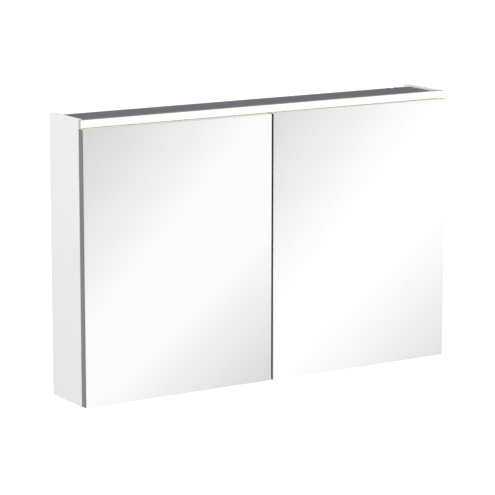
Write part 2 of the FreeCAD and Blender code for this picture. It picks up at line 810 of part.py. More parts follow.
# LED driver with two ears
driver = slab(
    "led_driver",
    "XY_Plane",
    BAY_FLOOR,
    "driver_height",
    f"{DRIVER_END} - driver_length",
    f"-{DRIVER_FRONT}",
    DRIVER_END,
    f"-{DRIVER_FRONT} + driver_depth",
)
dress("Fillet", driver, "driver_round")
outline = sketch_on(driver, "XY_Plane", BAY_FLOOR)
rectangle(
    outline,
    f"{DRIVER_END} - driver_length - ear_length",
    f"{DRIVER_MIDDLE} - ear_depth / 2",
    f"{DRIVER_END} + ear_length",
    f"{DRIVER_MIDDLE} + ear_depth / 2",
)
extrude("Pad", driver, outline, "ear_thickness")
bores(driver, "XY_Plane", EAR_TOP, EAR_SCREWS[:2], "ear_thickness")
nodes.append(driver)

# Terminal block: wire entries to the rear, clamping screws on top
block = slab(
    "terminal_block",
    "XY_Plane",
    BAY_FLOOR,
    "block_height",
    f"{NOTCH} - block_length / 2",
    f"-{BLOCK_FRONT}",
    f"{NOTCH} + block_length / 2",
    f"-{BLOCK_FRONT} + block_depth",
)
outline = sketch_on(block, "XY_Plane", BAY_FLOOR)
rectangle(
    outline,
    f"{NOTCH} - block_length / 2 - ear_length",
    f"{BLOCK_MIDDLE} - ear_depth / 2",
    f"{NOTCH} + block_length / 2 + ear_length",
    f"{BLOCK_MIDDLE} + ear_depth / 2",
)
extrude("Pad", block, outline, "ear_thickness")
POLES = [f"{NOTCH} {step}" for step in ("- block_pitch", "", "+ block_pitch")]
ENTRIES = [(x, f"{BAY_FLOOR} + block_height / 2", "entry_radius") for x in POLES]
bores(block, "XZ_Plane", f"{BLOCK_FRONT} - block_depth", ENTRIES, "entry_depth", onward=True)
CLAMPS = [(x, BLOCK_MIDDLE, "clamp_radius") for x in POLES]
bores(block, "XY_Plane", f"{BAY_FLOOR} + block_height", CLAMPS, "clamp_depth")
bores(block, "XY_Plane", EAR_TOP, EAR_SCREWS[2:], "ear_thickness")
nodes.append(block)

# LED lead: from the driver forward, up in an S and through the housing to the board
lead = new_body("led_lead")
path = sketch_on(lead, "YZ_Plane", LED_LEAD)
bend = SIZES["lead_bend"]
lean = math.acos(1 - SIZES["lead_climb"] / (2 * bend))
start_z = SIZES["hang_drop"] - SIZES["cover_drop"] - SIZES["cover_thickness"]
start_z += SIZES["lead_rise"] - SIZES["bay_height"]
run = SIZES["switch_setback"] + SIZES["barrel_radius"] + SIZES["switch_lead_length"]
run -= SIZES["body_depth"] + SIZES["lead_straight"]
UP = FreeCAD.Vector(0, 0, 1)
first_centre = FreeCAD.Vector(run, start_z + bend, 0)
turn_point = first_centre + FreeCAD.Vector(-bend * math.sin(lean), -bend * math.cos(lean), 0)
second_centre = turn_point + FreeCAD.Vector(-bend * math.sin(lean), -bend * math.cos(lean), 0)
quarter = math.pi / 2
path.addGeometry(
    Part.LineSegment(FreeCAD.Vector(run + 5, start_z, 0), FreeCAD.Vector(run, start_z, 0))
)
path.addGeometry(Part.ArcOfCircle(Part.Circle(first_centre, UP, bend), -quarter - lean, -quarter))
path.addGeometry(Part.ArcOfCircle(Part.Circle(second_centre, UP, bend), quarter - lean, quarter))
end_point = second_centre + FreeCAD.Vector(0, bend, 0)
path.addGeometry(Part.LineSegment(end_point, end_point - FreeCAD.Vector(20, 0, 0)))
path.addConstraint(Sketcher.Constraint("Tangent", 0, 2, 1, 2))
path.addConstraint(Sketcher.Constraint("Tangent", 1, 1, 2, 1))
path.addConstraint(Sketcher.Constraint("Tangent", 2, 2, 3, 1))
path.addConstraint(Sketcher.Constraint("Horizontal", 3))
for arc in (1, 2):
    number = path.addConstraint(Sketcher.Constraint("Radius", arc, bend))
    path.setExpression(f"Constraints[{number}]", sized("lead_bend"))
hold(path, 0, 1, f"-{DRIVER_FRONT}", LEAD_LOW)
hold(path, 0, 2, f"-{DRIVER_FRONT} - lead_straight", LEAD_LOW)
hold(path, 3, 2, f"-{WEB_FRONT}", LEAD_HIGH)
ring = sketch_on(lead, "XZ_Plane", DRIVER_FRONT)
circle(ring, LED_LEAD, LEAD_LOW, "lead_radius")
pipe = lead.newObject("PartDesign::AdditivePipe", "led_lead_pipe")
pipe.Profile = ring
pipe.Spine = (path, ["Edge1", "Edge2", "Edge3", "Edge4"])
nodes.append(lead)

# Supply lead from the terminal block to the driver
supply = new_body("supply_lead")
outline = sketch_on(supply, "YZ_Plane", DRIVER_END)
circle(outline, f"-{BLOCK_FRONT} + supply_lead_in", LEAD_LOW, "lead_radius")
extrude("Pad", supply, outline, "supply_lead_length")
nodes.append(supply)

# Switch: barrel through the ceiling panel, button that is pushed up, lead to the driver
switch = turned(
    "switch_body",
    "XZ_Plane",
    "V_Axis",
    [
        ("0", f"{CEILING} - bezel_height + button_well"),
        ("button_radius + button_gap", f"{CEILING} - bezel_height + button_well"),
        ("button_radius + button_gap", f"{CEILING} - bezel_height"),
        ("bezel_radius", f"{CEILING} - bezel_height"),
        ("bezel_radius", CEILING),
        ("barrel_radius", CEILING),
        ("barrel_radius", f"{BAY_FLOOR} + barrel_rise"),
        ("0", f"{BAY_FLOOR} + barrel_rise"),
    ],
)
BUTTON_FACE = f"({CEILING} - bezel_height - button_proud)"
button = new_body("switch_button")
outline = sketch_on(button, "XY_Plane", BUTTON_FACE)
circle(outline, "0", "0", "button_radius")
extrude("Pad", button, outline, "button_length")
for piece in (switch, button):
    piece.setExpression("Placement.Base.x", sized(DRIVER))
    piece.setExpression("Placement.Base.y", sized(f"-{SWITCH_BACK}"))
switch_lead = new_body("switch_lead")
outline = sketch_on(switch_lead, "XZ_Plane", DRIVER_FRONT)
circle(outline, DRIVER, f"{BAY_FLOOR} + switch_lead_rise", "switch_lead_radius")
extrude("Pad", switch_lead, outline, "switch_lead_length")
nodes += [switch, button, switch_lead]

# Bumpers that the doors close against
bumper = new_body("bumper")
outline = sketch_on(bumper, "XZ_Plane")
circle(outline, "0", "0", "bumper_radius")
extrude("Pad", bumper, outline, "door_gap")
BUMPERS = [
    (side + "bumper_inset", "-body_depth", z)
    for side in ("", "-")
    for z in (f"{BOTTOM} + bumper_rise", f"{CEILING} + panel_thickness / 2")
]
nodes.append(group("door_bumpers", bumper, BUMPERS))

# Hinge plates on the left side
plate = slab(
    "hinge_plate",
    "YZ_Plane",
    INNER,
    PLATE_THICKNESS,
    "-body_depth + plate_front",
    "-plate_height / 2",
    "-body_depth + plate_front + plate_length",
    "plate_height / 2",
)
outline = sketch_on(plate, "YZ_Plane", INNER)
rectangle(
    outline,
    "-body_depth + wing_front",
    "-wing_height / 2",
    "-body_depth + wing_front + wing_length",
    "wing_height / 2",
)
extrude("Pad", plate, outline, "wing_thickness")
WING_TOP = f"{INNER} + wing_thickness"
WING_HOLES = [
    ("-body_depth + wing_front + wing_length / 2", f"{side}plate_screw_rise", PRESS_SCREW)
    for side in ("", "-")
]
bores(plate, "YZ_Plane", WING_TOP, WING_HOLES, "wing_thickness")
ARM_SCREW = ("-body_depth + arm_screw_back", "0", "arm_screw_radius + press_clearance")
bores(plate, "YZ_Plane", f"{LEFT} + pivot_inset + arm_offset", [ARM_SCREW], "arm_screw_bite")
BOTH_HINGES = [("0", "0", HINGE_LOW), ("0", "0", HINGE_HIGH)]
left_plates = group("left_hinge_plates", plate, BOTH_HINGES)
nodes += [left_plates, mirrored("right_hinge_plates", left_plates)]

# Cranked hinge arm: boss on the pin in the door, leg back along the side to the plate
arm = new_body("hinge_arm")
outline = sketch_on(arm, "XY_Plane")
ARM_INNER = f"{PIVOT_X} + arm_offset"
ARM_OUTER = f"{PIVOT_X} + arm_offset + arm_thickness"
polygon(
    outline,
    [
        (PIVOT_X, f"{PIVOT_Y} + arm_under"),
        (ARM_INNER, f"{PIVOT_Y} + arm_under"),
        (ARM_INNER, "-body_depth + arm_reach"),
        (ARM_OUTER, "-body_depth + arm_reach"),
        (ARM_OUTER, f"{PIVOT_Y} - arm_over + arm_corner"),
        (f"{ARM_OUTER} - arm_corner", f"{PIVOT_Y} - arm_over"),
        (PIVOT_X, f"{PIVOT_Y} - arm_over"),
    ],
)
extrude("Pad", arm, outline, "arm_width", both=True)
outline = sketch_on(arm, "XY_Plane")
circle(outline, PIVOT_X, PIVOT_Y, "boss_radius")
extrude("Pad", arm, outline, "arm_width", both=True)
bores(arm, "XY_Plane", "0", [(PIVOT_X, PIVOT_Y, "pin_radius + pin_clearance")], "2 * arm_width", both=True)
bores(arm, "YZ_Plane", ARM_OUTER, [ARM_SCREW], "arm_thickness")
left_arms = group("left_hinge_arms", arm, BOTH_HINGES)
nodes += [left_arms, mirrored("right_hinge_arms", left_arms)]

# Screws of the plates and of the arms
SIDE_SHANK = "(screw_bite + wing_thickness - fit_clearance)"
plate_screw = turned(
    "plate_screw",
    "XY_Plane",
    "H_Axis",
    [
        (f"-{SIDE_SHANK}", "0"),
        (f"-{SIDE_SHANK}", "screw_radius"),
        ("0", "screw_radius"),
        ("0", "screw_head_radius"),
        ("screw_head / 2", "screw_head_radius"),
        ("screw_head", "screw_head_radius / 2"),
        ("screw_head", "0"),
    ],
)
left_screws = group("left_plate_screws", plate_screw, [(WING_TOP, y, z) for y, z, _ in PLATE_SCREWS])
nodes += [left_screws, mirrored("right_plate_screws", left_screws)]
ARM_SHANK = "(arm_thickness + arm_screw_bite - fit_clearance)"
arm_screw = turned(
    "arm_screw",
    "XY_Plane",
    "H_Axis",
    [
        (f"-{ARM_SHANK}", "0"),
        (f"-{ARM_SHANK}", "arm_screw_radius"),
        ("0", "arm_screw_radius"),
        ("0", "arm_screw_head_radius"),
        ("arm_screw_head / 2", "arm_screw_head_radius"),
        ("arm_screw_head", "arm_screw_head_radius / 2"),
        ("arm_screw_head", "0"),
    ],
)
left_arm_screws = group(
    "left_arm_screws", arm_screw, [(ARM_OUTER, ARM_SCREW[0], z) for z in (HINGE_LOW, HINGE_HIGH)]
)
nodes += [left_arm_screws, mirrored("right_arm_screws", left_arm_screws)]

# Door frame: a ring of metal edge around the door, behind the front mirror
DOOR_FACE = (LEFT, DOOR_BOTTOM, DOOR_MIDDLE, DOOR_TOP)
frame = slab("left_door_frame", "XZ_Plane", DOOR_BACK, "door_thickness - mirror_thickness", *DOOR_FACE)
dress("Fillet", frame, "frame_round")
cut(
    frame,
    "XZ_Plane",
    DOOR_BACK,
    (
        f"{LEFT} + frame_wall",
        f"{DOOR_BOTTOM} + frame_wall",
        f"{DOOR_MIDDLE} - frame_wall",
        f"{DOOR_TOP} - frame_wall",
    ),
    "door_thickness",
    onward=True,
)
nodes += [frame, mirrored("right_door_frame", frame)]

# Door core: full depth at the hinges, sunk for the rear mirror elsewhere
PANE = (CUP_LEFT, f"{DOOR_BOTTOM} + {RIM}", f"{DOOR_MIDDLE} - {RIM}", f"{DOOR_TOP} - {RIM}")
core = slab("left_door_core", "XZ_Plane", DOOR_BACK, "door_thickness - mirror_thickness", *PANE)
cut(
    core,
    "XZ_Plane",
    DOOR_BACK,
    (f"{LEFT} + hinge_strip", PANE[1], PANE[2], PANE[3]),
    "mirror_thickness",
    onward=True,
)
for hinge in (HINGE_LOW, HINGE_HIGH):
    half = "(cup_height / 2 + fit_clearance)"
    opening = (LEFT, f"{hinge} - {half}", f"{PIVOT_X} + cup_reach + fit_clearance", f"{hinge} + {half}")
    cut(core, "XZ_Plane", DOOR_BACK, opening, "door_thickness", onward=True)
    half = "(flange_height / 2 + fit_clearance)"
    seat = (LEFT, f"{hinge} - {half}", f"{PIVOT_X} + flange_reach + fit_clearance", f"{hinge} + {half}")
    cut(core, "XZ_Plane", DOOR_BACK, seat, "flange_thickness", onward=True)
CUP_SCREW_X = f"{LEFT} + cup_screw_in"
CUP_SCREWS = [
    (CUP_SCREW_X, f"{hinge} {side} cup_screw_rise", PRESS_SCREW)
    for hinge in (HINGE_LOW, HINGE_HIGH)
    for side in "+-"
]
bores(core, "XZ_Plane", DOOR_BACK, CUP_SCREWS, "flange_thickness + screw_bite", onward=True)
nodes += [core, mirrored("right_door_core", core)]

# Mirrors: the front one covers the whole door, the rear one leaves the strip for the hinges
front_mirror = slab(
    "left_front_mirror",
    "XZ_Plane",
    f"{DOOR_BACK} + door_thickness - mirror_thickness",
    "mirror_thickness",
    *DOOR_FACE,
)
MIRROR_FACE = -SIZES["body_depth"] - SIZES["door_gap"] - SIZES["door_thickness"]
dress("Chamfer", front_mirror, "mirror_bevel", lambda at: abs(at.y - MIRROR_FACE) < 0.01)
nodes += [front_mirror, mirrored("right_front_mirror", front_mirror)]
rear_mirror = slab(
    "left_rear_mirror",
    "XZ_Plane",
    DOOR_BACK,
    "mirror_thickness",
    f"{LEFT} + hinge_strip + fit_clearance",
    PANE[1],
    PANE[2],
    PANE[3],
)
nodes += [rear_mirror, mirrored("right_rear_mirror", rear_mirror)]

# Hinge cup: two cheeks that hold the pin, a floor, a far wall and a flange, open to the edge and the rear
cup = slab(
    "hinge_cup",
    "XY_Plane",
    "0",
    "cup_height",
    CUP_LEFT,
    f"{PIVOT_Y} - arm_over - arm_clearance - cup_floor",
    f"{PIVOT_X} + cup_reach",
    f"-{DOOR_BACK}",
    both=True,
)
outline = sketch_on(cup, "XZ_Plane", DOOR_BACK)
rectangle(outline, CUP_LEFT, "-flange_height / 2", f"{PIVOT_X} + flange_reach", "flange_height / 2")
extrude("Pad", cup, outline, "flange_thickness")
cut(
    cup,
    "XY_Plane",
    "0",
    (
        f"{CUP_LEFT} - fit_clearance",
        f"{PIVOT_Y} - arm_over - arm_clearance",
        f"{PIVOT_X} + cup_reach - cup_far_wall",
        f"-{DOOR_BACK} + fit_clearance",
    ),
    "arm_width + 2 * arm_clearance",
    both=True,
)
bores(
    cup,
    "XY_Plane",
    "0",
    [(PIVOT_X, PIVOT_Y, "pin_radius + press_clearance")],
    "pin_length + fit_clearance",
    both=True,
)
FLANGE_HOLES = [(CUP_SCREW_X, f"{side}cup_screw_rise", PRESS_SCREW) for side in ("", "-")]
bores(cup, "XZ_Plane", DOOR_BACK, FLANGE_HOLES, "flange_thickness", onward=True)
FLANGE_SEATS = [(x, z, "screw_head_radius + press_clearance") for x, z, _ in FLANGE_HOLES]
bores(cup, "XZ_Plane", DOOR_BACK, FLANGE_SEATS, "flat_head", onward=True)
left_cups = group("left_hinge_cups", cup, BOTH_HINGES)
nodes += [left_cups, mirrored("right_hinge_cups", left_cups)]

# Hinge pins
pin = new_body("hinge_pin")
outline = sketch_on(pin, "XY_Plane")
circle(outline, PIVOT_X, PIVOT_Y, "pin_radius")
extrude("Pad", pin, outline, "pin_length", both=True)
left_pins = group("left_hinge_pins", pin, BOTH_HINGES)
nodes += [left_pins, mirrored("right_hinge_pins", left_pins)]

# Cup screws, flush in the flange
CUP_SHANK = "(flange_thickness + screw_bite - fit_clearance)"
cup_screw = turned(
    "cup_screw",
    "XY_Plane",
    "V_Axis",
    [
        ("0", f"-{CUP_SHANK}"),
        ("screw_radius", f"-{CUP_SHANK}"),
        ("screw_radius", "-flat_head"),
        ("screw_head_radius", "-flat_head"),
        ("screw_head_radius", "0"),
        ("0", "0"),
    ],
)
left_cup_screws = group("left_cup_screws", cup_screw, [(x, f"-{DOOR_BACK}", z) for x, z, _ in CUP_SCREWS])
nodes += [left_cup_screws, mirrored("right_cup_screws", left_cup_screws)]

doc.recompute()
for item in doc.Objects:
    if "Invalid" in item.State or "Error" in item.State:
        raise RuntimeError(f"{item.Label} did not build: {item.State}")
os.makedirs("parts", exist_ok=True)
for node in nodes:
    if node.Shape.isNull() or not node.Shape.isValid() or not node.Shape.Solids:
        raise RuntimeError(f"{node.Label} has no valid shape")
    node.Shape.exportStep(f"parts/{node.Label}.step")
print(len(nodes), "pieces written")
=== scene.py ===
import logging
import math
from collections.abc import Sequence
from dataclasses import dataclass
from enum import Enum
from typing import Any

import bmesh
import bpy
from mathutils import Euler, Matrix, Vector


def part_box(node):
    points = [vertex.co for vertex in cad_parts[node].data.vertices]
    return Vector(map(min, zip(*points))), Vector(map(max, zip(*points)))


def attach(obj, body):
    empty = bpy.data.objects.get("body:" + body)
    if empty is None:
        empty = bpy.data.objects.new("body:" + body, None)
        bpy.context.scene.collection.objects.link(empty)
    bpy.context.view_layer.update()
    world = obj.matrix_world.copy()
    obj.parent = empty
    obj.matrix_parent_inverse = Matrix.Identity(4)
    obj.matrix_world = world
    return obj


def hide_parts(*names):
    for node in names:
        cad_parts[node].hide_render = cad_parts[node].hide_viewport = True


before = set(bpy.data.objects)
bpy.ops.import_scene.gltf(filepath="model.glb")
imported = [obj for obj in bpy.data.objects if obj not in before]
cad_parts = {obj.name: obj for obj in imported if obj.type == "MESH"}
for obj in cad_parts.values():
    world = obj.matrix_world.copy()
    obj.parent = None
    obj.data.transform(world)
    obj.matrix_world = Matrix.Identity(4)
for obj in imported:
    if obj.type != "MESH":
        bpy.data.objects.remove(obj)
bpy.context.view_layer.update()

LOG = logging.getLogger("lighted_mirror_cabinet")
Tree = bpy.types.NodeTree
Node = bpy.types.Node
Socket = bpy.types.NodeSocket
Mesh = bmesh.types.BMesh
Piece = bpy.types.Object
Pair = tuple[float, float]
Triple = tuple[float, float, float]
# Points of an outline from the axis: how far out, and how high.
Profile = tuple[Pair, ...]
Colour = tuple[float, float, float, float]
# A layer of colour over others: its share at each point, and the colour.
Layer = tuple[Socket, str]

MM = 0.001
# Points closer than this are one point.
TINY = 1e-6
# Decimals of a metre by which places are sorted.
DIGITS = 5
# Edges sharper than this are rounded, and faces that meet flatter than this are joined.
SHARP = math.radians(30.0)
FLAT = math.radians(1.0)
# Edges sharper than this stay sharp in the shading.
CREASE = math.radians(50.0)
# Period of a wave texture of scale 1 along one axis, and along the diagonal.
WAVE = math.pi / 10
DIAGONAL_WAVE = 2 * math.pi / 10
# Seed of all that is random.
SEED = 7
# A cutting shape stands this many millimetres out of what it cuts.
OVER = 0.5


class Body(Enum):
    """Bodies of the cabinet that pieces ride on."""

    CARCASS = "carcass"
    LEFT_DOOR = "left_door"
    RIGHT_DOOR = "right_door"
    BUTTON = "light_button"


class Side(Enum):
    """Sides of the cabinet, as the names of CAD nodes begin."""

    LEFT = "left"
    RIGHT = "right"


class Facing(Enum):
    """Ways that a turned part can look, as the turn that brings its +Z there."""

    UP = (0.0, 0.0, 0.0)
    REAR = (-math.pi / 2, 0.0, 0.0)
    FRONT = (math.pi / 2, 0.0, 0.0)
    RIGHT = (0.0, math.pi / 2, 0.0)
    LEFT = (0.0, -math.pi / 2, 0.0)

    def vector(self) -> Vector:
        """Returns the direction as a unit vector."""
        return Euler(self.value).to_matrix() @ Vector((0.0, 0.0, 1.0))


class Relief(Enum):
    """Textures that raise a surface, with the output that gives the height."""

    PEEL = ("ShaderNodeTexNoise", "Fac")
    PEBBLE = ("ShaderNodeTexVoronoi", "Distance")


Box = tuple[Vector, Vector]
Places = list[tuple[Vector, Facing]]


def linear(colour: str) -> Colour:
    """Turns an sRGB hex colour to linear light.

    Args:
        colour: Six hex digits after a hash sign.

    Returns:
        Red, green, blue and alpha.
    """
    parts = [int(colour[k:k + 2], 16) / 255 for k in (1, 3, 5)]
    straight = [p / 12.92 if p <= 0.04045 else ((p + 0.055) / 1.055) ** 2.4 for p in parts]
    return (*straight, 1.0)


def per_metre(size_mm: float) -> float:
    """Returns the texture scale of a pattern that repeats after so many millimetres."""
    return 1.0 / (size_mm * MM)


def add(tree: Tree, kind: str, inputs: dict[str | int, Any] | None = None, **settings: Any) -> Node:
    """Adds a node with its settings and links.

    Args:
        tree: Node tree that takes the node.
        kind: Type of the node.
        inputs: Values, or sockets to link, by the name or number of the input.
        settings: Properties of the node.

    Returns:
        The new node.
    """
    made = tree.nodes.new(kind)
    for word, value in settings.items():
        setattr(made, word, value)
    for key, value in (inputs or {}).items():
        if isinstance(value, Socket):
            tree.links.new(value, made.inputs[key])
        else:
            made.inputs[key].default_value = value
    return made


def emptied(owner: bpy.types.Material | bpy.types.World) -> Tree:
    """Turns on an owner's nodes and clears them.

    Args:
        owner: Material or world.

    Returns:
        Its empty node tree.
    """
    owner.use_nodes = True
    owner.node_tree.nodes.clear()
    return owner.node_tree


@dataclass(frozen=True)
class Patterns:
    """What a finish is mixed from: its node tree and the sockets of its patterns there."""

    tree: Tree
    place: Socket
    patches: Socket
    height: Socket


@dataclass(frozen=True)
class Finish:
    """A finish with soft patches of a second shade and a fine relief.

    The patches also vary the gloss. Stretch draws the pattern out: 0.01 makes lines along that axis.
    Relief depth is a share of the relief's width.
    """

    name: str
    colour: str
    shade: str
    roughness: float
    metallic: float = 0.0
    patch_mm: float = 90.0
    patch_detail: float = 3.0
    gloss_spread: float = 0.04
    relief: Relief = Relief.PEEL
    relief_mm: float = 1.5
    relief_height: float = 0.1
    relief_depth: float = 0.1
    painted_hollow_shade: float = 0.0
    stretch: Triple = (1.0, 1.0, 1.0)
    uv: str = ""
    coat: float = 0.0
    ior: float = 1.5

    def place(self, tree: Tree) -> Socket:
        """Finds the coordinates of the pattern.

        Args:
            tree: Node tree of the material.

        Returns:
            Place on the piece in metres, drawn out by the stretch.
        """
        if self.uv:
            source = add(tree, "ShaderNodeUVMap", uv_map=self.uv).outputs["UV"]
        else:
            source = add(tree, "ShaderNodeTexCoord").outputs["Object"]
        return add(tree, "ShaderNodeMapping", {"Vector": source, "Scale": self.stretch}).outputs["Vector"]

    def look(self, tree: Tree) -> bpy.types.NodeOutputs:
        """Returns the X, Y and Z parts of the way that a face looks."""
        normal = add(tree, "ShaderNodeTexCoord").outputs["Normal"]
        return add(tree, "ShaderNodeSeparateXYZ", {0: normal}).outputs

    def layers(self, given: Patterns) -> list[Layer]:
        """Lists what lies over the two shades: the second one again, in the hollows of the relief, as
        painted shade.

        Args:
            given: Tree and patterns of the material.

        Returns:
            The layers, from the lowest up.
        """
        # The hollows of the relief are painted darker: painted shade.
        if not self.painted_hollow_shade:
            return []
        hollows = {"Value": given.height, "To Max": self.painted_hollow_shade}
        return [(add(given.tree, "ShaderNodeMapRange", hollows).outputs[0], self.shade)]

    def complete(self, given: Patterns, shader: Node) -> None:
        """Adds what the shader needs beyond colour, gloss and relief: nothing for a plain finish."""

    def material(self) -> bpy.types.Material:
        """Makes the material of this finish, once.

        Returns:
            The material.
        """
        found = bpy.data.materials.get(self.name)
        if found:
            return found
        made = bpy.data.materials.new(self.name)
        tree = emptied(made)
        place = self.place(tree)
        noise = {"Vector": place, "Scale": per_metre(self.patch_mm), "Detail": self.patch_detail}
        patches = add(tree, "ShaderNodeTexNoise", noise).outputs["Fac"]
        kind, output = self.relief.value
        height = add(tree, kind, {"Vector": place, "Scale": per_metre(self.relief_mm)}).outputs[output]
        given = Patterns(tree, place, patches, height)
        colour = linear(self.colour)
        for share, over in [(patches, self.shade), *self.layers(given)]:
            mix = {"Factor": share, "A": colour, "B": linear(over)}
            colour = add(tree, "ShaderNodeMix", mix, data_type="RGBA").outputs["Result"]
        low, high = self.roughness - self.gloss_spread, self.roughness + self.gloss_spread
        gloss = {"Value": patches, "To Min": low, "To Max": high}
        depth = self.relief_depth * self.relief_mm * MM
        bump = {"Height": height, "Strength": self.relief_height, "Distance": depth}
        shader = add(tree, "ShaderNodeBsdfPrincipled", {
            "Base Color": colour,
            "Metallic": self.metallic,
            "Roughness": add(tree, "ShaderNodeMapRange", gloss).outputs[0],
            "IOR": self.ior,
            "Coat Weight": self.coat,
            "Normal": add(tree, "ShaderNodeBump", bump).outputs["Normal"],
        })
        self.complete(given, shader)
        add(tree, "ShaderNodeOutputMaterial", {"Surface": shader.outputs["BSDF"]})
        return made


@dataclass(frozen=True)
class Glowing(Finish):
    """A finish that gives light, a little stronger in front of each LED.

    The shares say how much of the front's glow the faces have that look up, down and to the sides, and lean
    where a face begins to look that way and where it does so fully. Upper faces get a painted shade.
    """

    glow: str = "#fff8ed"
    strength: float = 1.0
    ripple: float = 0.03
    upward: float = 1.0
    downward: float = 1.0
    sideways: float = 1.0
    lean: Pair = (0.3, 0.9)
    pitch_mm: float = 16.21
    painted_top_shade: str = ""

    def layers(self, given: Patterns) -> list[Layer]:
        """Lists the layers, with the painted shade of the upper faces as the last.

        Args:
            given: Tree and patterns of the material.

        Returns:
            The layers, from the lowest up.
        """
        lower = super().layers(given)
        if not self.painted_top_shade:
            return lower
        # Upper faces take a darker colour: painted shade.
        rise = {"Value": self.look(given.tree)["Z"], "From Min": self.lean[0], "From Max": self.lean[1]}
        return [*lower, (add(given.tree, "ShaderNodeMapRange", rise).outputs[0], self.painted_top_shade)]

    def complete(self, given: Patterns, shader: Node) -> None:
        """Lets the shader glow, in spots as far apart as the LEDs and by the way that a face looks.

        Args:
            given: Tree and patterns of the material.
            shader: Shader of the finish.
        """
        tree = given.tree
        wave = {"Vector": given.place, "Scale": per_metre(self.pitch_mm) * WAVE, "Distortion": 0.0}
        spots = add(tree, "ShaderNodeTexWave", wave, bands_direction="X").outputs["Fac"]
        low, high = (1 - self.ripple) * self.strength, (1 + self.ripple) * self.strength
        ripple = {"Value": spots, "To Min": low, "To Max": high}
        glow = add(tree, "ShaderNodeMapRange", ripple).outputs[0]
        parts = self.look(tree)
        ways = (("Z", 1.0, self.upward), ("Z", -1.0, self.downward), ("X", 1.0, self.sideways),
                ("X", -1.0, self.sideways))
        for axis, sign, share in ways:
            begin, whole = (sign * lean for lean in self.lean)
            span = {"Value": parts[axis], "From Min": begin, "From Max": whole, "To Min": 1.0,
                    "To Max": share}
            part = add(tree, "ShaderNodeMapRange", span).outputs[0]
            glow = add(tree, "ShaderNodeMath", {0: glow, 1: part}, operation="MULTIPLY").outputs[0]
        tree.links.new(glow, shader.inputs["Emission Strength"])
        shader.inputs["Emission Color"].default_value = linear(self.glow)


@dataclass(frozen=True)
class Pane(Finish):
    """Glass, clear or silvered, whose narrow sides show the green of the glass."""

    edge: str = "#7fae9c"
    clear: float = 0.0
    clear_side: float = 0.0
    side_lean: float = 0.5

    def sides(self, tree: Tree) -> Socket:
        """Tells the narrow sides of the pane from its faces.

        Args:
            tree: Node tree of the material.

        Returns:
            1 on the sides, 0 on the faces.
        """
        across = self.look(tree)["Z" if self.clear else "Y"]
        flat = add(tree, "ShaderNodeMath", {0: across}, operation="ABSOLUTE").outputs[0]
        return add(tree, "ShaderNodeMath", {0: flat, 1: self.side_lean}, operation="LESS_THAN").outputs[0]

    def layers(self, given: Patterns) -> list[Layer]:
        """Lists the one layer of a pane: the green of its sides."""
        return [(self.sides(given.tree), self.edge)]

    def complete(self, given: Patterns, shader: Node) -> None:
        """Makes the faces of a clear pane clearer than its sides.

        Args:
            given: Tree and patterns of the material.
            shader: Shader of the finish.
        """
        if self.clear:
            span = {"Value": self.sides(given.tree), "To Min": self.clear, "To Max": self.clear_side}
            share = add(given.tree, "ShaderNodeMapRange", span).outputs[0]
            given.tree.links.new(share, shader.inputs["Transmission Weight"])


@dataclass(frozen=True)
class Wood(Finish):
    """Wood with straight grain and short dark flecks along it."""

    fleck: str = "#a9774a"
    fleck_mm: float = 1.2
    fleck_detail: float = 1.0
    fleck_span: Pair = (0.58, 0.7)

    def layers(self, given: Patterns) -> list[Layer]:
        """Lists the one layer of wood: its flecks.

        Args:
            given: Tree and patterns of the material.

        Returns:
            The layer.
        """
        noise = {"Vector": given.place, "Scale": per_metre(self.fleck_mm), "Detail": self.fleck_detail}
        specks = add(given.tree, "ShaderNodeTexNoise", noise).outputs["Fac"]
        span = {"Value": specks, "From Min": self.fleck_span[0], "From Max": self.fleck_span[1]}
        return [(add(given.tree, "ShaderNodeMapRange", span).outputs[0], self.fleck)]


# Lacquered board: sprayed white, half gloss, with the faint orange peel of a spray gun.
LACQUER = Finish("white_lacquered_board", "#f0f0ee", "#ebebe8", 0.34, relief_mm=4.0, relief_height=0.06,
                 patch_mm=220.0, coat=0.15)
# Painted hardboard: thin white coat over pressed fibres, which show as a fine felt with painted shade in its
# hollows.
HARDBOARD = Finish("white_painted_hardboard", "#e9e8e4", "#dedcd6", 0.55, relief_mm=1.6, relief_height=0.25,
                   patch_mm=60.0, painted_hollow_shade=0.3)
# Foiled door core: smooth pale grey foil with a slight satin.
CORE = Finish("grey_foiled_board", "#d9dad9", "#cfd0cf", 0.45, relief_mm=2.0, relief_height=0.08)
# Beech: pale pinkish wood with short flecks.
BEECH = Wood("turned_beech", "#d9b48a", "#c99f72", 0.6, patch_mm=4.0, relief_mm=0.8,
             stretch=(0.15, 1.0, 0.15))
# Powder coat on folded steel: dull slate grey with a close pebble grain, drawn coarser than the real 0.4 mm.
# Its hollows carry painted shade.
SLATE = Finish("slate_powder_coated_steel", "#5f646b", "#585d64", 0.6, relief=Relief.PEBBLE, relief_mm=1.2,
               relief_height=0.35, patch_mm=140.0, painted_hollow_shade=0.25)
# Anodised aluminium profile: silky metal with die lines along its length.
PROFILE = Finish("anodised_aluminium_profile", "#c3c5c7", "#b2b4b7", 0.36, 1.0, patch_mm=3.0, relief_mm=0.8,
                 stretch=(0.01, 1.0, 1.0))
# Door edge: anodised aluminium, ground along each rail.
EDGE = Finish("ground_anodised_aluminium", "#d8d9d9", "#cbcccc", 0.34, 1.0, patch_mm=2.0, relief_mm=0.6,
              uv="along", stretch=(0.01, 1.0, 1.0))
# Opal acrylic: milky, slightly warm, lit evenly from behind, and taupe on top as painted shade,
# where the profile shades it.
OPAL = Glowing("lit_opal_acrylic", "#c9c6be", "#c3c0b8", 0.3, relief_mm=3.0, relief_height=0.03,
               strength=0.62, upward=0.0, downward=1.5, painted_top_shade="#8f7d6e")
# Frosted acrylic of the end caps: pale grey, lets a little of the light through to the sides.
CAP = Glowing("frosted_grey_acrylic", "#b9b9b8", "#b2b2b1", 0.5, relief=Relief.PEBBLE, relief_mm=0.8,
              relief_height=0.2, strength=0.6, upward=0.1, downward=0.3, sideways=0.05)
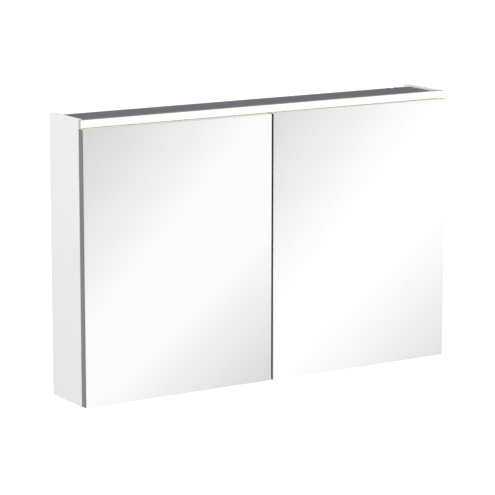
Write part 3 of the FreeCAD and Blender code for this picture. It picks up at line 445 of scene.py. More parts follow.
# Circuit board: white solder mask over copper, which lifts it in soft lines.
MASK = Finish("white_solder_mask", "#eef0ea", "#dfe3d8", 0.4, patch_mm=6.0, relief_mm=3.0, relief_height=0.2,
              stretch=(0.25, 1.0, 1.0))
# LED: yellow phosphor gel in a white package.
PHOSPHOR = Glowing("led_phosphor", "#f2d98a", "#ecc860", 0.3, glow="#fff0d2", strength=1.4)
# Resistor: black glaze over white ceramic, slightly uneven.
RESISTOR = Finish("glazed_resistor_ceramic", "#2b2c2e", "#37383b", 0.3, patch_mm=1.0, relief_mm=0.5)
# Brass of the clamp screws: bright yellow metal, turned.
BRASS = Finish("turned_brass", "#cfae62", "#b99748", 0.26, 1.0, patch_mm=2.0, relief_mm=0.4)
# Bright zinc on steel: cool metal with cloudy spangles.
ZINC = Finish("bright_zinc_plated_steel", "#cdd0d4", "#b7bbc1", 0.28, 1.0, patch_mm=5.0, relief_mm=0.8)
# Black zinc on steel: dark screws for the slate cover.
DARK = Finish("black_zinc_plated_steel", "#54585e", "#43474c", 0.4, 1.0, patch_mm=4.0, relief_mm=0.6)
# Nickel on pressed steel: warm bright metal, slightly hazy from tumbling.
NICKEL = Finish("nickel_plated_steel", "#cfccc5", "#bdbab2", 0.22, 1.0, patch_mm=12.0, relief_mm=1.5,
                relief_height=0.15)
# Moulded polycarbonate of the driver case: off-white with the fine grain of the mould.
CASE = Finish("moulded_white_polycarbonate", "#e6e6e2", "#dcdcd8", 0.48, relief=Relief.PEBBLE, relief_mm=0.9,
              relief_height=0.2)
# Nylon of the terminal block: waxy cream.
NYLON = Finish("moulded_cream_nylon", "#e8e2cd", "#ddd5bd", 0.5, patch_mm=15.0, relief_mm=1.0)
# Soft PVC of the leads: pale grey with a dull sheen.
SHEATH = Finish("soft_grey_pvc", "#d3d4d4", "#c6c7c8", 0.45, patch_mm=20.0, relief_mm=1.0)
# Rubber of the grommet: slate grey like the cover, dull.
RUBBER = Finish("grey_moulded_rubber", "#676b72", "#5d6168", 0.62, patch_mm=10.0, relief=Relief.PEBBLE,
                relief_mm=0.7, relief_height=0.3)
# ABS of the switch button: satin pale grey.
BUTTON = Finish("satin_grey_abs", "#bfc1c3", "#b5b7b9", 0.38, patch_mm=8.0, relief_mm=0.6)
# Chromed brass of the switch bezel: cool and almost mirror bright.
CHROME = Finish("chromed_brass", "#dcdfe2", "#d0d3d7", 0.1, 1.0, patch_mm=10.0, gloss_spread=0.03,
                relief_mm=2.0)
# Float glass of the shelves: clear, green at the sides.
GLASS = Pane("clear_float_glass", "#f3faf7", "#eef8f4", 0.02, gloss_spread=0.01, relief_mm=90.0,
             relief_height=0.02, ior=1.52, clear=1.0, clear_side=0.45, edge="#86bba7")
# Silvered float glass: a true mirror with the slightest roll of the glass, green at its polished sides.
MIRROR = Pane("silvered_float_glass", "#fcfcfc", "#fafafa", 0.012, 1.0, gloss_spread=0.008, relief_mm=400.0,
              relief_height=0.004, edge="#a3aaa7")
# Silicone of the bumpers: pale, soft and slightly shiny.
SILICONE = Finish("clear_silicone", "#e3e6e6", "#d8dcdc", 0.3, patch_mm=4.0, relief_mm=0.8, ior=1.41)


def put(name: str, data: bpy.types.ID) -> Piece:
    """Puts a mesh, a lamp or a camera into the scene.

    Args:
        name: Name of the object.
        data: What the object holds.

    Returns:
        The object, at the origin.
    """
    made = bpy.data.objects.new(name, data)
    bpy.context.scene.collection.objects.link(made)
    return made


def solid(name: str, build: Mesh, turn: Matrix | None = None) -> Piece:
    """Makes an object of a mesh in millimetres.

    Args:
        name: Name of the piece.
        build: Mesh in millimetres; it is used up.
        turn: Matrix that brings the mesh to its place, in millimetres.

    Returns:
        The object, at the origin, in metres.
    """
    if turn:
        build.transform(turn)
    build.transform(Matrix.Scale(MM, 4))
    bmesh.ops.recalc_face_normals(build, faces=build.faces)
    data = bpy.data.meshes.new(name)
    build.to_mesh(data)
    build.free()
    return put(name, data)


def settled(piece: Piece) -> Piece:
    """Turns a piece's modifiers into plain mesh and takes them off.

    Args:
        piece: Piece with live modifiers.

    Returns:
        The same piece.
    """
    graph = bpy.context.evaluated_depsgraph_get()
    piece.data = bpy.data.meshes.new_from_object(piece.evaluated_get(graph))
    piece.modifiers.clear()
    return piece


def smooth(piece: Piece) -> Piece:
    """Shades a piece smooth, but for its creases, and keeps its flats flat.

    Args:
        piece: The piece.

    Returns:
        The same piece.
    """
    piece.data.shade_smooth()
    piece.data.set_sharp_from_angle(angle=CREASE)
    flats = piece.modifiers.new("flats", "WEIGHTED_NORMAL")
    flats.keep_sharp = True
    return settled(piece)


def turned(profile: Sequence[Pair], steps: int = 24) -> Mesh:
    """Turns a profile about the Z axis.

    Args:
        profile: Radius and height of each point, from the lower pole to the upper one.
        steps: Number of sides.

    Returns:
        The closed mesh.
    """
    build = bmesh.new()
    rings = []
    for radius, height in profile:
        count = steps if radius > TINY else 1
        turns = [2 * math.pi * k / steps for k in range(count)]
        rings.append([build.verts.new((radius * math.cos(t), radius * math.sin(t), height)) for t in turns])
    for low, high in zip(rings, rings[1:]):
        for k in range(steps):
            after = (k + 1) % steps
            corners = [low[k % len(low)], low[after % len(low)],
                       high[after % len(high)], high[k % len(high)]]
            build.faces.new(list(dict.fromkeys(corners)))
    return build


def prism(outline: Sequence[Pair], low: float, high: float) -> Mesh:
    """Pulls an outline in XY up along Z.

    Args:
        outline: Corners in order.
        low: Height of the lower face.
        high: Height of the upper face.

    Returns:
        The closed mesh.
    """
    build = bmesh.new()
    under = [build.verts.new((x, y, low)) for x, y in outline]
    over = [build.verts.new((x, y, high)) for x, y in outline]
    build.faces.new(under[::-1])
    build.faces.new(over)
    for k in range(len(outline)):
        after = (k + 1) % len(outline)
        build.faces.new([under[k], under[after], over[after], over[k]])
    build.normal_update()
    return build


def block(low: Triple, high: Triple) -> Mesh:
    """Returns a box between two corners."""
    sides = [(low[0], low[1]), (high[0], low[1]), (high[0], high[1]), (low[0], high[1])]
    return prism(sides, low[2], high[2])


def bevel(build: Mesh, width: float, segments: int = 2) -> Mesh:
    """Rounds all sharp edges of a mesh.

    Args:
        build: The mesh.
        width: Width of the rounding.
        segments: Number of faces across it.

    Returns:
        The same mesh.
    """
    sharp = [e for e in build.edges if e.is_manifold and e.calc_face_angle() > SHARP]
    bmesh.ops.bevel(build, geom=sharp, offset=width, segments=segments, affect="EDGES", profile=0.5)
    return build


def together(*parts: Mesh) -> Mesh:
    """Gathers meshes into the first one.

    Args:
        parts: The meshes; all but the first are used up.

    Returns:
        The first mesh, with all of them.
    """
    whole = parts[0]
    for part in parts[1:]:
        data = bpy.data.meshes.new("part")
        part.to_mesh(data)
        part.free()
        whole.from_mesh(data)
        bpy.data.meshes.remove(data)
    return whole


def carve(piece: Piece, tool: Piece) -> Piece:
    """Cuts a tool's shape out of a piece.

    Args:
        piece: The piece.
        tool: The shape to cut out; it is removed.

    Returns:
        The same piece.
    """
    cutter = piece.modifiers.new("carve", "BOOLEAN")
    cutter.operation = "DIFFERENCE"
    cutter.solver = "EXACT"
    cutter.object = tool
    settled(piece)
    bpy.data.objects.remove(tool)
    return piece


def box_of(node: str) -> Box:
    """Returns the lowest and highest corner of a CAD node, in millimetres."""
    low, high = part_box(node)
    return Vector(low) / MM, Vector(high) / MM


def boxes_of(node: str) -> list[Box]:
    """Finds the separate solids of a CAD node.

    Args:
        node: Name of the node.

    Returns:
        The lowest and highest corner of each solid, in metres, from left to right.
    """
    build = bmesh.new()
    build.from_mesh(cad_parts[node].data)
    bmesh.ops.remove_doubles(build, verts=build.verts, dist=TINY)
    found, todo = [], set(build.verts)
    while todo:
        island, edge = set(), [todo.pop()]
        while edge:
            at = edge.pop()
            island.add(at)
            near = {e.other_vert(at) for e in at.link_edges} & todo
            todo -= near
            edge.extend(near)
        low = Vector([min(v.co[k] for v in island) for k in range(3)])
        high = Vector([max(v.co[k] for v in island) for k in range(3)])
        found.append((low, high))
    build.free()
    return sorted(found, key=lambda pair: tuple(round(c, DIGITS) for c in pair[0]))


def on_rear(boxes: list[Box]) -> Places:
    """Returns the middle of each box's rear face, looking to the front."""
    return [(Vector(((a.x + b.x) / 2, b.y, (a.z + b.z) / 2)), Facing.FRONT) for a, b in boxes]


def repeat_tree() -> bpy.types.GeometryNodeTree:
    """Builds, once, the tree that puts a part at every point, turned as the point says, and rolls it.

    Returns:
        The tree.
    """
    found = bpy.data.node_groups.get("part_at_each_place")
    if found:
        return found
    tree = bpy.data.node_groups.new("part_at_each_place", "GeometryNodeTree")
    face = tree.interface
    for word, kind in (("Places", "Geometry"), ("Part", "Object"), ("Roll", "Float"), ("Seed", "Int"),
                       ("Finish", "Material")):
        face.new_socket(name=word, in_out="INPUT", socket_type="NodeSocket" + kind)
    face.new_socket(name="Parts", in_out="OUTPUT", socket_type="NodeSocketGeometry")
    given = add(tree, "NodeGroupInput").outputs
    part = add(tree, "GeometryNodeObjectInfo", {"Object": given["Part"]}).outputs["Geometry"]
    turn = add(tree, "GeometryNodeInputNamedAttribute", {"Name": "turn"}, data_type="FLOAT_VECTOR")
    placed = add(tree, "GeometryNodeInstanceOnPoints", {
        "Points": given["Places"], "Instance": part, "Rotation": turn.outputs["Attribute"],
    })
    least = add(tree, "ShaderNodeMath", {0: given["Roll"], 1: -1.0}, operation="MULTIPLY").outputs[0]
    roll = add(tree, "FunctionNodeRandomValue", {"Min": least, "Max": given["Roll"], "Seed": given["Seed"]})
    spin = add(tree, "ShaderNodeCombineXYZ", {"Z": roll.outputs["Value"]}).outputs[0]
    rolled = add(tree, "GeometryNodeRotateInstances", {
        "Instances": placed.outputs[0], "Rotation": spin, "Local Space": True,
    })
    real = add(tree, "GeometryNodeRealizeInstances", {0: rolled.outputs[0]}).outputs[0]
    dressed = add(tree, "GeometryNodeSetMaterial", {"Geometry": real, "Material": given["Finish"]})
    add(tree, "NodeGroupOutput", {0: dressed.outputs[0]})
    return tree


def repeated(name: str, part: Piece, places: Places, finish: Finish, roll: float = 0.0) -> Piece:
    """Puts a small part at several places as one piece.

    Args:
        name: Name of the piece.
        part: The part, about the origin and looking up; it is removed.
        places: Point in metres and facing of each one.
        finish: Finish of the parts.
        roll: Largest turn of each one about its own axis, in radians.

    Returns:
        The piece.
    """
    data = bpy.data.meshes.new(name)
    data.from_pydata([tuple(at) for at, _ in places], [], [])
    turns = data.attributes.new("turn", "FLOAT_VECTOR", "POINT")
    turns.data.foreach_set("vector", [c for _, facing in places for c in facing.value])
    made = put(name, data)
    row = made.modifiers.new("repeat", "NODES")
    row.node_group = repeat_tree()
    values = {"Part": part, "Roll": roll, "Seed": SEED, "Finish": finish.material()}
    for socket in row.node_group.interface.items_tree:
        if socket.in_out == "INPUT" and socket.name in values:
            row[socket.identifier] = values[socket.name]
    settled(made)
    bpy.data.objects.remove(part)
    return smooth(made)


@dataclass
class SubAssembly:
    """A group of pieces that ride on one body."""

    body: Body = Body.CARCASS

    def dress(self, finish: Finish, *nodes: str) -> None:
        """Gives CAD nodes a finish.

        Args:
            finish: The finish.
            nodes: Names of the nodes.
        """
        for node in nodes:
            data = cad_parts[node].data
            data.materials.clear()
            data.materials.append(finish.material())
            LOG.info("dressed %s in %s", node, finish.name)

    def fit(self, piece: Piece, finish: Finish, slot: str, *nodes: str) -> None:
        """Fits a piece in the place of CAD nodes.

        Args:
            piece: The piece, in place.
            finish: Its finish.
            slot: Name of a material slot; not used.
            nodes: CAD nodes that it stands for.
        """
        if not piece.data.materials:
            piece.data.materials.append(finish.material())
        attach(piece, self.body.value)
        if nodes:
            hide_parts(*nodes)
        LOG.info("fitted %s on %s", piece.name, self.body.value)

    def soften(self, node: str, finish: Finish, slot: str, width: float) -> None:
        """Fits a copy of a CAD node, with its sharp edges rounded, in the node's place.

        Args:
            node: The CAD node.
            finish: Finish of the copy.
            slot: Name of a material slot; not used.
            width: Width of the rounding in millimetres.
        """
        build = bmesh.new()
        build.from_mesh(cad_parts[node].data)
        bmesh.ops.remove_doubles(build, verts=build.verts, dist=TINY)
        bmesh.ops.dissolve_limit(build, angle_limit=FLAT, verts=build.verts, edges=build.edges)
        build.transform(Matrix.Scale(1.0 / MM, 4))
        piece = solid(node + "_rounded", bevel(build, width))
        self.fit(smooth(piece), finish, slot, node)


@dataclass
class Screw:
    """A cross-head screw, with its seat at the origin and its head up.

    Sizes in millimetres. The core is a share of the shank and the tip one of the core. The cross and the
    dome have shares of the head, and the rim of a flush head is counted from its upper edge.
    """

    head_radius: float = 3.1
    head_height: float = 2.0
    shank_radius: float = 1.75
    shank_length: float = 8.8
    flush: bool = False
    thread_pitch: float = 1.1
    thread_start: float = 0.6
    thread_spare: float = 1.0
    core_share: float = 0.78
    tip_share: float = 0.3
    tip_height: float = 0.2
    neck: float = 0.02
    seat_round: float = 0.15
    dome: Profile = ((1.0, 0.3), (0.93, 0.55), (0.75, 0.8), (0.45, 0.96), (0.0, 1.0))
    flush_rim: Profile = ((-0.1, -0.12), (-0.05, -0.04), (-0.2, 0.0))
    cross_arm: float = 0.55
    cross_width: float = 0.14
    cross_depth: float = 0.55
    cross_taper: float = 0.45
    least_depth: float = 1.4

    def profile(self) -> list[Pair]:
        """Draws half of the screw: tip, thread and head.

        Returns:
            Radius and height of each point, from the tip up.
        """
        r, h, foot = self.head_radius, self.head_height, -self.shank_length
        core = self.core_share * self.shank_radius
        drawn = [(0.0, foot), (self.tip_share * core, foot + self.tip_height)]
        for k in range(int((self.shank_length - self.thread_spare) / self.thread_pitch)):
            z = foot + self.thread_start + k * self.thread_pitch
            drawn += [(core, z), (self.shank_radius, z + 0.5 * self.thread_pitch)]
        if self.flush:
            rim = [(r + out, up) for out, up in self.flush_rim]
            return drawn + [(core, -h - self.neck), (self.shank_radius, -h), *rim, (0.0, 0.0)]
        head = [(share * r, rise * h) for share, rise in self.dome]
        return drawn + [(core, -self.neck), (r - self.seat_round, 0.0), (r, self.seat_round), *head]

    def part(self) -> Piece:
        """Builds the screw and cuts the cross.

        Returns:
            The screw.
        """
        piece = solid("screw", turned(self.profile(), steps=20))
        top = 0.0 if self.flush else self.head_height
        arm, wide = self.cross_arm * self.head_radius, self.cross_width * self.head_radius
        cross = [(wide, wide), (wide, arm), (-wide, arm), (-wide, wide), (-arm, wide), (-arm, -wide),
                 (-wide, -wide), (-wide, -arm), (wide, -arm), (wide, -wide), (arm, -wide), (arm, wide)]
        depth = self.cross_depth * max(self.head_height, self.least_depth)
        tool = prism(cross, top - depth, top + OVER)
        for corner in tool.verts:
            if corner.co.z < top:
                corner.co.x *= self.cross_taper
                corner.co.y *= self.cross_taper
        return carve(piece, solid("cross", tool))

    def set_in(self, node: str, owner: SubAssembly, facing: Facing, finish: Finish, slot: str) -> None:
        """Puts this screw in the place of each solid of a CAD node.

        Args:
            node: The CAD node of screws.
            owner: Sub-assembly that they belong to.
            facing: Way that the heads look.
            finish: Their finish.
            slot: Name of a material slot; not used.
        """
        way = facing.vector()
        back = 0.0 if self.flush else self.head_height * MM
        places = []
        for low, high in boxes_of(node):
            reach = abs((high - low).dot(way)) / 2
            places.append(((low + high) / 2 + way * (reach - back), facing))
        piece = repeated(node + "_threaded", self.part(), places, finish, math.pi)
        owner.fit(piece, finish, slot, node)


@dataclass
class Carcass(SubAssembly):
    """Boards, dowels, shelves, pins and bumpers.

    Sizes in millimetres, the middle of a bay in metres. The nose of a pin has shares of the pin's radius,
    and its heights are counted from the pin's end.
    """

    dowel_flutes: int = 14
    flute_share: float = 0.06
    dowel_chamfer: float = 0.6
    dowel_roll: float = 0.2
    pin_sunk: float = 4.8
    pin_chamfer: float = 0.4
    pin_collar: float = 0.8
    pin_collar_radius: float = 3.4
    pin_collar_round: float = 0.15
    pin_nose: Profile = ((1.0, -0.8), (0.86, -0.25), (0.6, 0.0), (0.0, 0.0))
    bay_middle_m: float = 0.25
    bumper_foot: float = 0.25
    bumper_steps: int = 7
    bumper_swell: float = 0.8

    def dress_boards(self) -> None:
        """Gives the boards and the glass their finishes."""
        self.dress(LACQUER, "left_side_panel", "right_side_panel", "bottom_panel", "ceiling_panel",
                   "centre_partition", "hanging_rail")
        self.dress(HARDBOARD, "back_panel")
        for level in ("lower", "upper"):
            self.dress(GLASS, f"{level}_left_shelf", f"{level}_right_shelf")

    def build_dowels(self) -> None:
        """Builds the fluted dowels."""
        boxes = boxes_of("carcass_dowels")
        spans = [high - low for low, high in boxes]
        length = max(spans[0]) / MM
        radius = min(spans[0]) / MM / 2
        star = []
        for k in range(2 * self.dowel_flutes):
            turn = math.pi * k / self.dowel_flutes
            reach = radius * (1 - self.flute_share * (k % 2))
            star.append((reach * math.cos(turn), reach * math.sin(turn)))
        build = prism(star, -length / 2, length / 2)
        ends = [f for f in build.faces if len(f.verts) == len(star)]
        bmesh.ops.inset_individual(build, faces=ends, thickness=self.dowel_chamfer, depth=0.0)
        for face in ends:
            for corner in face.verts:
                corner.co.z += math.copysign(self.dowel_chamfer, corner.co.z)
        for corner in build.verts:
            corner.co.z *= length / (length + 2 * self.dowel_chamfer)
        places = []
        for (low, high), span in zip(boxes, spans):
            along = Facing.RIGHT if span.x > span.z else Facing.UP
            places.append(((low + high) / 2, along))
        piece = repeated("fluted_dowels", solid("dowel", build), places, BEECH, self.dowel_roll)
        self.fit(piece, BEECH, "beech", "carcass_dowels")

    def build_pins(self) -> None:
        """Builds the shelf pins: a collar on the board, a rounded end under the glass."""
        boxes = boxes_of("shelf_pins")
        low, high = boxes[0]
        r, sunk = (high.z - low.z) / MM / 2, self.pin_sunk
        proud = (high.x - low.x) / MM - sunk
        wide, thick, soft = self.pin_collar_radius, self.pin_collar, self.pin_collar_round
        profile = [(0.0, -sunk), (r - self.pin_chamfer, -sunk), (r, -sunk + self.pin_chamfer), (r, 0.0)]
        profile += [(wide - soft, 0.0), (wide, soft), (wide, thick - soft), (wide - soft, thick), (r, thick)]
        profile += [(share * r, proud + up) for share, up in self.pin_nose]
        places = []
        for low, high in boxes:
            middle = (low + high) / 2
            inward = middle.x < -self.bay_middle_m or 0.0 < middle.x < self.bay_middle_m
            facing = Facing.RIGHT if inward else Facing.LEFT
            seat = low.x + sunk * MM if inward else high.x - sunk * MM
            places.append((Vector((seat, middle.y, middle.z)), facing))
        piece = repeated("collared_shelf_pins", solid("pin", turned(profile)), places, NICKEL)
        self.fit(piece, NICKEL, "nickel", "shelf_pins")

    def build_bumpers(self) -> None:
        """Builds the domed bumpers that the doors close against."""
        boxes = boxes_of("door_bumpers")
        low, high = boxes[0]
        radius, height = (high.x - low.x) / MM / 2, (high.y - low.y) / MM
        foot = self.bumper_foot * height
        profile = [(0.0, 0.0), (radius, 0.0), (radius, foot)]
        for k in range(1, self.bumper_steps):
            t = k / self.bumper_steps * math.pi / 2
            rise = foot + (1 - self.bumper_foot) * height * math.sin(t)
            profile.append((radius * math.cos(t) ** self.bumper_swell, rise))
        profile.append((0.0, height))
        piece = repeated("domed_bumpers", solid("bumper", turned(profile)), on_rear(boxes), SILICONE)
        self.fit(piece, SILICONE, "silicone", "door_bumpers")


@dataclass
class LightBar(SubAssembly):
    """The luminous bar: housing, diffuser, caps, board and LEDs. Sizes in millimetres."""

    housing_round: float = 0.15
    diffuser_round: float = 0.6
    cap_round: float = 0.4
    chip_rim: float = 0.35
    dome_height: float = 0.25
    pad_reach: float = 0.75
    solder: Profile = ((0.0, 0.0), (0.7, 0.0), (0.6, 0.15), (0.35, 0.3), (0.0, 0.35))
    resistor: Triple = (1.0, 0.6, 0.5)
    resistor_round: float = 0.1
    leds_per_resistor: int = 3

    def dress_profile(self) -> None:
        """Rounds and finishes the housing, the diffuser and the caps, and sets the housing's screws."""
        self.soften("light_housing", PROFILE, "aluminium_profile", self.housing_round)
        self.soften("light_diffuser", OPAL, "opal_acrylic", self.diffuser_round)
        for side in Side:
            self.soften(f"{side.value}_end_cap", CAP, "cap_plastic", self.cap_round)
        self.dress(MASK, "led_board")
        Screw().set_in("housing_screws", self, Facing.UP, ZINC, "zinc_steel")

    def build_leds(self) -> None:
        """Builds the row of LEDs, each a small package with a raised gel face."""
        boxes = boxes_of("led_chips")
        low, high = boxes[0]
        long, tall, deep = [(high - low)[k] / MM for k in (0, 2, 1)]
        build = block((-long / 2, -tall / 2, 0.0), (long / 2, tall / 2, deep - self.dome_height))
        face = max(build.faces, key=lambda f: f.calc_center_median().z)
        bmesh.ops.inset_individual(build, faces=[face], thickness=self.chip_rim, depth=0.0)
        for corner in face.verts:
            corner.co.z += self.dome_height
        places = on_rear(boxes)
        piece = repeated("led_row", solid("led", build), places, PHOSPHOR)
        self.fit(piece, PHOSPHOR, "led", "led_chips")
        self.build_pads(places, long / 2)

    def build_pads(self, leds: Places, half: float) -> None:
        """Builds the solder at both ends of each LED and a resistor after every third one.

        Args:
            leds: Place and facing of each LED.
            half: Half of an LED's length in millimetres.
        """
        pad = turned(self.solder, steps=12)
        ends = [(at + Vector((side * (half + self.pad_reach) * MM, 0.0, 0.0)), facing)
                for at, facing in leds for side in (-1, 1)]
        self.fit(repeated("led_solder", solid("pad", pad), ends, ZINC), ZINC, "circuit_board")
        x, y, z = self.resistor
        chip = solid("chip", bevel(block((-x, -y, 0.0), (x, y, z)), self.resistor_round, 1))
        gap = (leds[1][0] - leds[0][0]) / 2
        every = self.leds_per_resistor
        between = [(at + gap, facing) for at, facing in leds[every - 1:-1:every]]
        self.fit(repeated("led_resistors", chip, between, RESISTOR), RESISTOR, "circuit_board")


@dataclass
class ElectricsBay(SubAssembly):
    """Cover, driver, terminal block, leads, grommet and switch.

    Sizes in millimetres. The point of a clamp screw and the rim of the button have shares of their radius.
    """

    cover_round: float = 0.4
    grommet_round: float = 0.6
    flush_head: float = 0.7
    block_round: float = 0.3
    pole_pitch: float = 10.0
    clamp_radius: float = 1.9
    clamp_length: float = 5.0
    clamp_point: Pair = (0.7, 0.6)
    clamp_round: float = 0.3
    slot_half: float = 0.3
    slot_depth: float = 0.8
    clamp_sunk: float = 1.5
    clamp_roll: float = 1.2
    ear: Triple = (12.0, 18.0, 2.5)
    ear_round: float = 0.4
    seam_share: float = 0.62
    lid_line: float = 0.4
    case_round: float = 1.2
    neck_inset: float = 0.5
    neck_reach: float = 1.5
    rib_count: int = 14
    rib: Triple = (1.0, 6.0, 0.8)
    rib_sunk: float = 0.4
    rib_round: float = 0.3
    rib_margin: float = 20.0
    barrel_radius: float = 8.0
    barrel_thread: float = 1.0
    thread_depth: float = 0.35
    barrel_end: Pair = (0.8, 1.0)
    button_bore: float = 6.3
    bore_chamfer: float = 0.4
    bezel_height: float = 2.0
    bezel_rim: Profile = ((-0.9, 0.0), (-0.3, 0.25), (-0.05, 0.9))
    button_well: float = 14.0
    dish_steps: int = 6
    dish_depth: float = 0.5
    dish_share: float = 0.8
    button_rim: Profile = ((0.88, 0.0), (0.96, 0.15), (1.0, 0.6))
    button_chamfer: float = 0.4

    def dress_bay(self) -> None:
        """Gives the cover, the leads and the grommet their finishes, and sets the screws."""
        self.soften("top_cover", SLATE, "slate_sheet", self.cover_round)
        self.dress(SHEATH, "led_lead", "supply_lead", "switch_lead")
        self.soften("cable_grommet", RUBBER, "grommet_plastic", self.grommet_round)
        flush = Screw(head_height=self.flush_head, flush=True)
        Screw().set_in("electrics_screws", self, Facing.UP, ZINC, "zinc_steel")
        flush.set_in("cover_front_screws", self, Facing.UP, DARK, "dark_steel")
        Screw().set_in("cover_rear_screws", self, Facing.REAR, ZINC, "zinc_steel")

    def build_terminals(self) -> None:
        """Builds the terminal block and the slotted brass screws of its three poles."""
        low, high = box_of("terminal_block")
        at = (low + high) / 2
        self.soften("terminal_block", NYLON, "block_plastic", self.block_round)
        r, foot, soft = self.clamp_radius, -self.clamp_length, self.clamp_round
        share, rise = self.clamp_point
        shank = [(0.0, foot), (share * r, foot), (r, foot + rise), (r, -soft), (r - soft, 0.0), (0.0, 0.0)]
        slot = block((-2 * r, -self.slot_half, -self.slot_depth), (2 * r, self.slot_half, OVER))
        screw = carve(solid("grub", turned(shank)), solid("slot", slot))
        places = [(Vector((at.x + k * self.pole_pitch, at.y, high.z - self.clamp_sunk)) * MM, Facing.UP)
                  for k in (-1, 0, 1)]
        self.fit(repeated("clamp_screws", screw, places, BRASS, self.clamp_roll), BRASS, "block_plastic")

    def build_driver(self) -> None:
        """Builds the driver: a ribbed case with a lid line and two ears."""
        low, high = box_of("led_driver")
        ear_length, ear_depth, ear_height = self.ear
        rib_half, rib_inset, rib_rise = self.rib
        middle = (low.y + high.y) / 2
        left, right, top = low.x + ear_length, high.x - ear_length, high.z - rib_rise
        seam = low.z + self.seam_share * (high.z - low.z)
        half, inset, reach = self.lid_line / 2, self.neck_inset, self.neck_reach
        lower = bevel(block((left, low.y, low.z), (right, high.y, seam - half)), self.case_round)
        neck = block((left + inset, low.y + inset, seam - reach),
                     (right - inset, high.y - inset, seam + reach))
        upper = bevel(block((left, low.y, seam + half), (right, high.y, top)), self.case_round)
        ears = block((low.x, middle - ear_depth / 2, low.z),
                     (high.x, middle + ear_depth / 2, low.z + ear_height))
        case = solid("driver_case", together(lower, neck, upper, bevel(ears, self.ear_round)))
        self.fit(smooth(case), CASE, "driver_case", "led_driver")
        step = (right - left - 2 * self.rib_margin) / (self.rib_count - 1)
        rib = block((-rib_half, low.y + rib_inset - middle, -self.rib_sunk),
                    (rib_half, high.y - rib_inset - middle, rib_rise))
        places = [(Vector((left + self.rib_margin + k * step, middle, top)) * MM, Facing.UP)
                  for k in range(self.rib_count)]
        ribs = repeated("driver_ribs", solid("rib", bevel(rib, self.rib_round, 1)), places, CASE)
        self.fit(ribs, CASE, "driver_case")

    def build_switch(self) -> None:
        """Builds the switch body with its ridged bezel and threaded barrel, and the dished button."""
        low, high = box_of("switch_body")
        at = (low + high) / 2
        rim, barrel, bore = (high.x - low.x) / 2, self.barrel_radius, self.button_bore
        under, seat, well = low.z, low.z + self.bezel_height, low.z + self.button_well
        soft, pitch = self.bore_chamfer, self.barrel_thread
        bezel = [(rim + out, under + up) for out, up in self.bezel_rim]
        profile = [(0.0, well), (bore, well), (bore, under + soft), (bore + soft, under), *bezel,
                   (bezel[-1][0], seat), (barrel, seat)]
        z = seat + pitch
        while z < high.z - 2 * pitch:
            profile += [(barrel, z), (barrel - self.thread_depth, z + pitch / 2)]
            z += pitch
        inset, drop = self.barrel_end
        profile += [(barrel, high.z - drop), (barrel - inset, high.z), (0.0, high.z)]
        turn = Matrix.Translation((at.x, at.y, 0.0))
        body = solid("switch_barrel", turned(profile, steps=48), turn)
        self.fit(smooth(body), CHROME, "switch_metal", "switch_body")
        low, high = box_of("switch_button")
        r, foot, head, last = (high.x - low.x) / 2, low.z, high.z, self.dish_steps
        profile = [(r * k / last * self.dish_share, foot + self.dish_depth * (1 - (k / last) ** 2))
                   for k in range(last + 1)]
        soft = self.button_chamfer
        profile += [(share * r, foot + up) for share, up in self.button_rim]
        profile += [(r, head - soft), (r - soft, head), (0.0, head)]
        piece = solid("dished_button", turned(profile, steps=40), turn)
        SubAssembly(Body.BUTTON).fit(smooth(piece), BUTTON, "switch_plastic", "switch_button")


@dataclass
class Sided(SubAssembly):
    """A group of pieces on one side of the cabinet."""

    side: Side = Side.LEFT

    def own(self, word: str) -> str:
        """Returns the name of one of this side's nodes."""
        return f"{self.side.value}_{word}"


@dataclass
class Hinges(Sided):
    """The hinge halves on one side of the carcass. Sizes in millimetres."""

    plate_round: float = 0.4
    arm_round: float = 0.5
    plate_shank: float = 11.3

    def build(self) -> None:
        """Dresses the plates and arms and sets their screws."""
        inward = Facing.RIGHT if self.side is Side.LEFT else Facing.LEFT
        self.soften(self.own("hinge_plates"), NICKEL, "nickel", self.plate_round)
        self.soften(self.own("hinge_arms"), NICKEL, "nickel", self.arm_round)
        slim = Screw(shank_length=self.plate_shank)
        wide = Screw(head_radius=4.5, head_height=2.5, shank_radius=2.5, shank_length=7.8)
        slim.set_in(self.own("plate_screws"), self, inward, ZINC, "zinc_steel")
        wide.set_in(self.own("arm_screws"), self, inward, ZINC, "zinc_steel")


